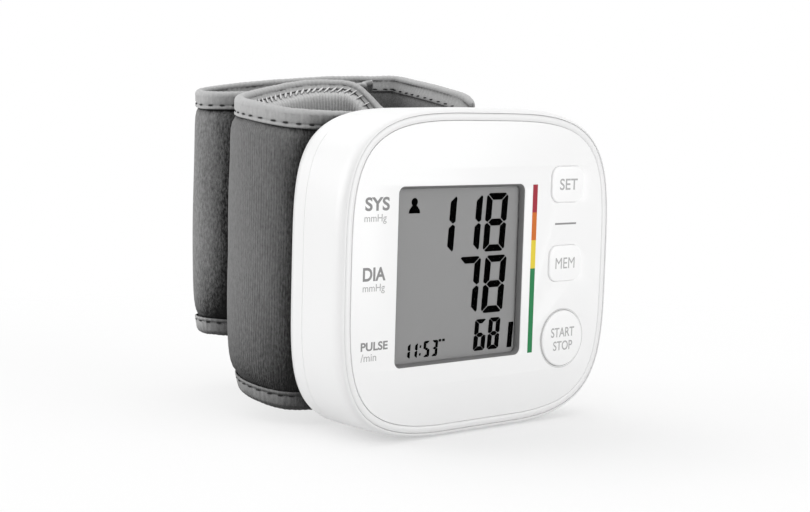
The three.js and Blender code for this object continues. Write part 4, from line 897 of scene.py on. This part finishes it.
# The tape's outer leg, from its lip to the fold: distance from the edge, and depth under its face.
TAPE_LEG = np.array([
    (BINDING_WIDTH, 0.34), (BINDING_WIDTH - 0.08, 0.13), (BINDING_WIDTH - 0.3, 0.02), (STITCH_DOWN + 0.4, 0.03),
    (STITCH_DOWN + 0.15, 0.2), (STITCH_DOWN, STITCH_GROOVE), (STITCH_DOWN - 0.15, 0.2), (STITCH_DOWN - 0.45, 0.03),
    (RIM_FOLD + 0.3, 0.0)])
# The inner leg starts LEG_START past the fold and stops LEG_STOP before its end, which is rounded off: distance
# from the end, and depth under the leg's face. The way back stops BACK_SHORT before the lip.
LEG_START, LEG_STOP, BACK_SHORT = 0.15, 0.25, 0.1
LEG_END = np.array([(0.06, 0.02), (0, 0.2)])
# The sewing's small waves: their depth, the pitch and share of the even ones, the size and share of the
# random ones, the size of the random sway of the even ones, and how far the fold follows them.
GATHER, EVEN_PITCH, EVEN_SHARE, RANDOM_SIZE, RANDOM_SHARE, SWAY_SIZE, FOLD_SHARE = 0.1, 1.45, 0.6, 7, 0.8, 9, 0.8


def tape_section(route, thickness, side, inner_width, seed):
    """Closed section of folded tape: an outer leg with a stitch groove, a round fold over the edge, an inner
    leg that follows the layers, then the way back inside. Small waves of sewing run along its outer faces."""
    face = LAYER_GAP + BINDING_THICKNESS
    half, middle = (face + RIM_INSIDE) / 2, (face - RIM_INSIDE) / 2
    turn = np.linspace(0, np.pi, RIM_STEPS)
    inner_down = np.linspace(RIM_FOLD + LEG_START, inner_width - LEG_STOP, LEG_STEPS)
    inner_out = -thickened(inner_down, RIM_INSIDE, thickness + RIM_INSIDE - LINING_RIM)
    out = np.concatenate([face - TAPE_LEG[:, 1], middle + half * np.cos(turn), inner_out,
                          inner_out[-1] + LEG_END[:, 1]])
    down = np.concatenate([TAPE_LEG[:, 0], RIM_FOLD * (1 - np.sin(turn)), inner_down, inner_width - LEG_END[:, 0]])
    count, fold = len(out), len(TAPE_LEG)
    back_out = np.concatenate([inner_out[::-1] + LIP, middle + (half - LIP) * np.cos(turn[::-1]), [face - LIP]])
    back_down = np.concatenate([inner_down[::-1], RIM_FOLD + BACK_SHORT - (RIM_FOLD - LIP) * np.sin(turn[::-1]),
                                [BINDING_WIDTH - BACK_SHORT]])
    out, down = np.concatenate([out, back_out]), np.concatenate([down, back_down])
    along = route.length[:, None]
    sway = 2 * ripples(along, 0 * along, SWAY_SIZE, seed)
    uneven = RANDOM_SHARE * ripples(along, down[None, :count], RANDOM_SIZE, seed + 1)
    waves = np.zeros((len(route.length), len(out)))
    waves[:, :count] = GATHER * (EVEN_SHARE * (np.cos(2 * np.pi * along / EVEN_PITCH + sway) - 1) + uneven)
    push = np.where(np.arange(len(out)) < fold, 1, np.where(np.arange(len(out)) >= fold + RIM_STEPS, -1, 0))
    edge = route.top if side > 0 else route.foot
    return route.carry(out[None] + waves * push,
                       edge[:, None] - side * (down[None] - FOLD_SHARE * waves * (push == 0)))


# A thread's rings stop short of its poles; its place and its slant vary by a share of the pitch and in degrees.
THREAD_RINGS, THREAD_SIDES, THREAD_POLE, THREAD_STRAY, THREAD_TWIST = 4, 6, 0.92, 0.07, 5


def stitches(name, route, side, down, out, pitch, length, radius, slant, seed, lean=0.0):
    """Row of sewn threads, each a slim ellipsoid of THREAD_RINGS rings, tilted by slant degrees on the cloth.
    The cloth there goes inwards by lean times the distance from the edge."""
    rng = np.random.default_rng(seed)
    clear = route.end + length / 2
    spots = np.arange(clear, route.length[-1] - clear, pitch)
    spots = spots + rng.uniform(-THREAD_STRAY, THREAD_STRAY, len(spots)) * pitch
    line = route.at(spots)
    edge = line.top if side > 0 else line.foot
    centre = line.carry(np.full((len(spots), 1), out), (edge - side * down)[:, None])
    tilt = np.radians(slant + rng.uniform(-THREAD_TWIST, THREAD_TWIST, len(spots)))
    way = np.concatenate([line.way, np.zeros((len(spots), 1))], 1)
    outward = np.concatenate([line.out, np.zeros((len(spots), 1))], 1)
    rise = np.array([[0, 0, 1.0]])
    along = way * np.cos(tilt)[:, None] + rise * np.sin(tilt)[:, None]
    across = -way * np.sin(tilt)[:, None] + rise * np.cos(tilt)[:, None]
    steps = np.linspace(-THREAD_POLE, THREAD_POLE, THREAD_RINGS)
    ring = np.linspace(0, 2 * np.pi, THREAD_SIDES, endpoint=False)
    bulk = np.sqrt(1 - steps ** 2)[:, None]
    a = np.repeat(steps * length / 2, THREAD_SIDES)
    b, c = (bulk * np.cos(ring)).ravel() * radius, (bulk * np.sin(ring)).ravel() * radius
    points = (centre + a[None, :, None] * along[:, None] + b[None, :, None] * outward[:, None]
              + c[None, :, None] * across[:, None])
    points += lean * side * (points[..., 2:] - centre[..., 2:]) * outward[:, None]
    each = THREAD_RINGS * THREAD_SIDES
    base = np.arange(len(spots))[:, None, None] * each
    faces = (quads(THREAD_RINGS, THREAD_SIDES)[None] + base).reshape(-1, 4).tolist()
    for first in (0, each - THREAD_SIDES):
        faces += (np.arange(first, first + THREAD_SIDES)[None] + base[:, 0]).tolist()
    mesh = bpy.data.meshes.new(name)
    mesh.from_pydata((points.reshape(-1, 3) * MM).tolist(), [], faces)
    return place(name, mesh, 80)


# Woven tape: smooth and pale, with fine ribs across it. Threads: soft, with no gloss of their own.
woven_tape = cloth("woven binding tape, light grey", "#bebebe", "#3c3c3c", 0.07, 0.5, 2.5, 0.1, 1.3, 0.8,
                   shade=0.5)
thread_dark = cloth("polyester thread, dark grey", "#3c3c3c", "#1a1a1a", 0.1, 0.2, 1.0, 0.03)
thread_pale = cloth("polyester thread, white", "#e6e6e6", "#6a6a6a", 0.05, 0.2, 1.0, 0.03)
# A thread's middle stands this far over the bottom of its groove.
FACE_SINK = 0.12
thread_out = LAYER_GAP + BINDING_THICKNESS - STITCH_GROOVE + FACE_SINK
ZIGZAG_PITCH, ZIGZAG_LENGTH, ZIGZAG_RADIUS, ZIGZAG_SLANT = 2.1, 2.4, 0.22, 36
ZIGZAG_DEEPER, ZIGZAG_PROUD = 0.5, 0.15
zigzag_out = -thickened(NEAR_INNER, RIM_INSIDE, LOOP_THICKNESS + ZIGZAG_DEEPER) - ZIGZAG_PROUD
# The inner leg's slope where the zigzag lies, from the thickness SLOPE_REACH to either side of it.
SLOPE_REACH = 0.4
leg_near, leg_far = (thickened(NEAR_INNER + way, RIM_INSIDE, LOOP_THICKNESS) for way in (-SLOPE_REACH, SLOPE_REACH))
zigzag_lean = (leg_far - leg_near) / (2 * SLOPE_REACH)
for name, side in (("top", 1), ("foot", -1)):
    grid = tape_section(near, LOOP_THICKNESS, side, NEAR_INNER, 20 + side)
    tape = surface(f"near_{name}_tape", grid, caps=True, uv=cloth_uv(near, grid), sharp=70)
    dress(tape, woven_tape, "housing", "cloth_binding", f"near_{name}_binding")
    outer_row = stitches(f"near_{name}_stitches", near, side, STITCH_DOWN, thread_out, STITCH_PITCH, STITCH_LENGTH,
                         STITCH_RADIUS, 0, 30 + side)
    inner_row = stitches(f"near_{name}_zigzag", near, side, NEAR_INNER, zigzag_out, ZIGZAG_PITCH, ZIGZAG_LENGTH,
                         ZIGZAG_RADIUS, ZIGZAG_SLANT, 34 + side, zigzag_lean)
    dress(outer_row, thread_dark, "housing", "cloth_binding")
    dress(inner_row, thread_pale, "housing", "cloth_binding")

# Cuff, far half: the strap, one ply of padded loop cloth that runs back, folds and returns.
# It is caught at the housing's edge, and its free end carries the hook patch.
STRAP_HALF_WIDTH, STRAP_REACH, STRAP_THICKNESS = 28.2, 60.0, 2.6
STRAP_BULGE, STRAP_DRAW, STRAP_SOFTEN, STRAP_END, STRAP_CRUMPLE, STRAP_INNER = 1.1, 1.7, 0.9, 2.3, 1.1, 4.4
STRAP_BASE = LOOP_FACE - LAYER_GAP / 2
STRAP = np.array([
    (0.68, 0, 1.05, 0.13, 0), (0.689, 0.05, 1.077, 0.134, 0), (0.725, 0.27, 1.109, 0.145, 0.3),
    (0.785, 0.5, 1.132, 0.16, 0.3), (0.795, 0.575, 1.139, 0.163, 0), (0.69, 0.625, 1.139, 0.163, 0),
    (0.2, 0.73, 1.131, 0.168, 0.4), (-0.41, 0.88, 1.106, 0.165, 0.5), (-0.76, 0.985, 1.083, 0.16, 0.7),
    (-0.95, 0.97, 1.071, 0.158, 1), (-1, 0.875, 1.062, 0.157, 1), (-0.88, 0.79, 1.063, 0.155, 1),
    (-0.5, 0.69, 1.072, 0.153, 0.8), (-0.14, 0.62, 1.085, 0.151, 0.3), (0.17, 0.58, 1.096, 0.15, 0),
    (0.44, 0.56, 1.124, 0.15, 0)])
strap_line = Route(STRAP, STRAP_HALF_WIDTH, STRAP_BASE, STRAP_REACH, -1, STRAP_SOFTEN, STRAP_END,
                   STRAP_DRAW).closing(PAD_STEP)
strap_line.crumple = STRAP_CRUMPLE
# The same knit as a paler copy with deeper painted shade, so that the strap's open left part shows lighter and its
# folds darker.
paler_knit_deeper_shade = cloth("brushed loop knit, paler copy, deeper painted shade", "#909090", "#0a0a0a", 0.3, 0.42, 2.6, 0.2, shade=0.8)
strap_grid = pad_section(strap_line, STRAP_THICKNESS, STRAP_BULGE, seed=7)
strap = surface("strap_cloth", strap_grid, caps=True, uv=cloth_uv(strap_line, strap_grid))
dress(strap, paler_knit_deeper_shade, "strap", "cloth_grey", "strap")
# The strap's other side is the plain jersey that the loop cloth is laminated to: flat, fine and paler.
jersey = cloth("laminated jersey, light grey", "#d2d2d2", "#242424", 0.1, 0.35, 1.5, 0.1, shade=0.4)
strap.data.materials.append(jersey)
across = np.arange(len(strap.data.polygons)) % strap_grid.shape[1]
strap.data.polygons.foreach_set("material_index", (across >= strap_grid.shape[1] // 2).astype(np.int32))
# The same seam shows on both faces. Inside, its thread stands on the tape's inner leg.
THREAD_PROUD = 0.02
leg_depth = thickened(STITCH_DOWN, RIM_INSIDE, STRAP_THICKNESS + RIM_INSIDE - LINING_RIM)
strap_faces = {"outer": thread_out, "inner": -leg_depth - THREAD_PROUD}
for name, side in (("top", 1), ("foot", -1)):
    grid = tape_section(strap_line, STRAP_THICKNESS, side, STRAP_INNER, 40 + side)
    tape = surface(f"strap_{name}_tape", grid, caps=True, uv=cloth_uv(strap_line, grid), sharp=70)
    dress(tape, woven_tape, "strap", "cloth_binding", f"strap_{name}_binding")
    for face_name, face in strap_faces.items():
        row = stitches(f"strap_{name}_{face_name}_stitches", strap_line, side, STITCH_DOWN, face, STITCH_PITCH,
                       STITCH_LENGTH, STITCH_RADIUS, 0, 50 + side)
        dress(row, thread_dark, "strap", "cloth_binding")

# Stage: a matt paper floor that fades into a white backdrop, under soft studio light.
# The lamps stay at a plain level; white comes from what camera and mirror rays see of the floor and the world.
FLOOR = 6.0
floor_mesh = bpy.data.meshes.new("floor")
floor_mesh.from_pydata([(-FLOOR, -FLOOR, 0), (FLOOR, -FLOOR, 0), (FLOOR, FLOOR, 0), (-FLOOR, FLOOR, 0)], [],
                       [(0, 1, 2, 3)])
floor = bpy.data.objects.new("floor", floor_mesh)
scene.collection.objects.link(floor)
floor_look, floor_tree, floor_shader = material("matt white paper floor", "#f6f6f6", 0.9, Specular_IOR_Level=0.0)
floor_rays = add(floor_tree, "LightPath")
floor_where = add(floor_tree, "TexCoord")
away = add(floor_tree, "VectorMath", {0: floor_where.outputs["Object"]}, operation="LENGTH")
# Camera and mirror rays see white paper. Light that bounces to the object comes from a greyer tone,
# greyest under the object: painted shade that keeps its foot darker.
BOUNCE_NEAR, BOUNCE_FAR = 0.045, 0.1
mirrored = add(floor_tree, "Math", {0: floor_rays.outputs["Is Camera Ray"], 1: floor_rays.outputs["Is Glossy Ray"]},
               operation="MAXIMUM")
beyond = add(floor_tree, "MapRange", {"Value": away.outputs["Value"], "From Min": BOUNCE_NEAR,
                                      "From Max": BOUNCE_FAR}, interpolation_type="SMOOTHSTEP")
bounce = add(floor_tree, "Mix", {"Factor": beyond.outputs["Result"], "A": linear("#dfdfdf"),
                                 "B": linear("#efefef")}, data_type="RGBA")
paper_tone = add(floor_tree, "Mix", {"Factor": mirrored.outputs["Value"], "A": bounce.outputs["Result"],
                                     "B": linear("#f3f3f3")}, data_type="RGBA")
floor_tree.links.new(paper_tone.outputs["Result"], floor_shader.inputs["Base Color"])
# The camera sees the paper as lit from behind as well, which leaves only a light shadow.
# Its glow is weaker in a spot in front of the foot, which paints the shadow deepest there.
DEEP_SPOT, DEEP_NEAR, DEEP_FAR, DEEP_LIT, BACK_LIT = (0.0, -0.04, 0.0), 0.02, 0.075, 0.4, 0.72
off_spot = add(floor_tree, "VectorMath", {0: floor_where.outputs["Object"], 1: DEEP_SPOT}, operation="DISTANCE")
lit_share = add(floor_tree, "MapRange", {"Value": off_spot.outputs["Value"], "From Min": DEEP_NEAR,
                                         "From Max": DEEP_FAR, "To Min": DEEP_LIT, "To Max": BACK_LIT},
                interpolation_type="SMOOTHSTEP")
seen_lit = add(floor_tree, "Math", {0: floor_rays.outputs["Is Camera Ray"], 1: lit_share.outputs["Result"]},
               operation="MULTIPLY")
# The glossy panel mirrors paper that is lit nearly evenly, as in a light tent.
TENT_LIT = 0.95
tent_lit = add(floor_tree, "Math", {0: floor_rays.outputs["Is Glossy Ray"], 1: TENT_LIT}, operation="MULTIPLY")
back_lit = add(floor_tree, "Math", {0: seen_lit.outputs["Value"], 1: tent_lit.outputs["Value"]},
               operation="MAXIMUM")
glow = add(floor_tree, "Emission", {"Color": linear("#ffffff"), "Strength": 1.0})
paper = add(floor_tree, "MixShader", {0: back_lit.outputs["Value"], 1: floor_shader.outputs["BSDF"],
                                      2: glow.outputs["Emission"]})
# The paper fades into the white backdrop between these distances, so that no horizon shows.
FADE_NEAR, FADE_FAR = 0.16, 0.34
fade = add(floor_tree, "MapRange", {"Value": away.outputs["Value"], "From Min": FADE_NEAR, "From Max": FADE_FAR},
           interpolation_type="SMOOTHSTEP")
backdrop = add(floor_tree, "BsdfTransparent")
blend = add(floor_tree, "MixShader", {0: fade.outputs["Result"], 1: paper.outputs["Shader"],
                                      2: backdrop.outputs["BSDF"]})
floor_tree.links.new(blend.outputs["Shader"], floor_tree.nodes["Material Output"].inputs["Surface"])
floor_mesh.materials.append(floor_look)

# The world lights the object at WORLD_LIT, and is pure white to camera, glass and mirror rays.
WORLD_LIT = 0.58
world = bpy.data.worlds.new("studio")
scene.world = world
world.use_nodes = True
world_tree = world.node_tree
world_tree.nodes.clear()
rays = add(world_tree, "LightPath")
seen = add(world_tree, "Math", {0: rays.outputs["Is Camera Ray"], 1: rays.outputs["Is Transmission Ray"]},
           operation="MAXIMUM")
shown = add(world_tree, "Math", {0: seen.outputs["Value"], 1: rays.outputs["Is Glossy Ray"]}, operation="MAXIMUM")
strength = add(world_tree, "MapRange", {"Value": shown.outputs["Value"], "To Min": WORLD_LIT, "To Max": 1.0})
background = add(world_tree, "Background", {"Color": linear("#ffffff"), "Strength": strength.outputs["Result"]})
add(world_tree, "OutputWorld", {"Surface": background.outputs["Background"]})

# Wide soft suns stand for large softboxes, so that the floor gets the same light all over:
# direction that each shines from, strength and width in degrees.
SUNS = [("left_softbox", (-0.75, 0.6, 0.3), 1.05, 40), ("front_softbox", (0.35, -0.9, 0.2), 1.16, 50),
        ("top_softbox", (-0.1, 0.3, 1.0), 1.12, 80)]
for name, spot, power, width in SUNS:
    lamp = bpy.data.lights.new(name, "SUN")
    lamp.energy, lamp.angle = power, math.radians(width)
    stand = bpy.data.objects.new(name, lamp)
    scene.collection.objects.link(stand)
    stand.location = spot
    stand.rotation_euler = Vector(spot).to_track_quat("Z", "Y").to_euler()

# The camera's lens, place and axes are those solved from the photograph.
camera = bpy.data.cameras.new("camera")
camera.lens, camera.sensor_width, camera.clip_start = 69.69, 36.0, 0.01
view = bpy.data.objects.new("camera", camera)
scene.collection.objects.link(view)
view.location = (-0.25265, -0.28342, 0.08106)
right, up, ahead = (0.76692, -0.64111, 0.02849), (0.04624, 0.09948, 0.99396), (0.64007, 0.76098, -0.10594)
turn = np.eye(4)
turn[:3, 0], turn[:3, 1], turn[:3, 2] = right, up, -np.array(ahead)
view.rotation_euler = Matrix(turn.tolist()).to_euler()
scene.camera = view
scene.view_settings.view_transform = "Standard"
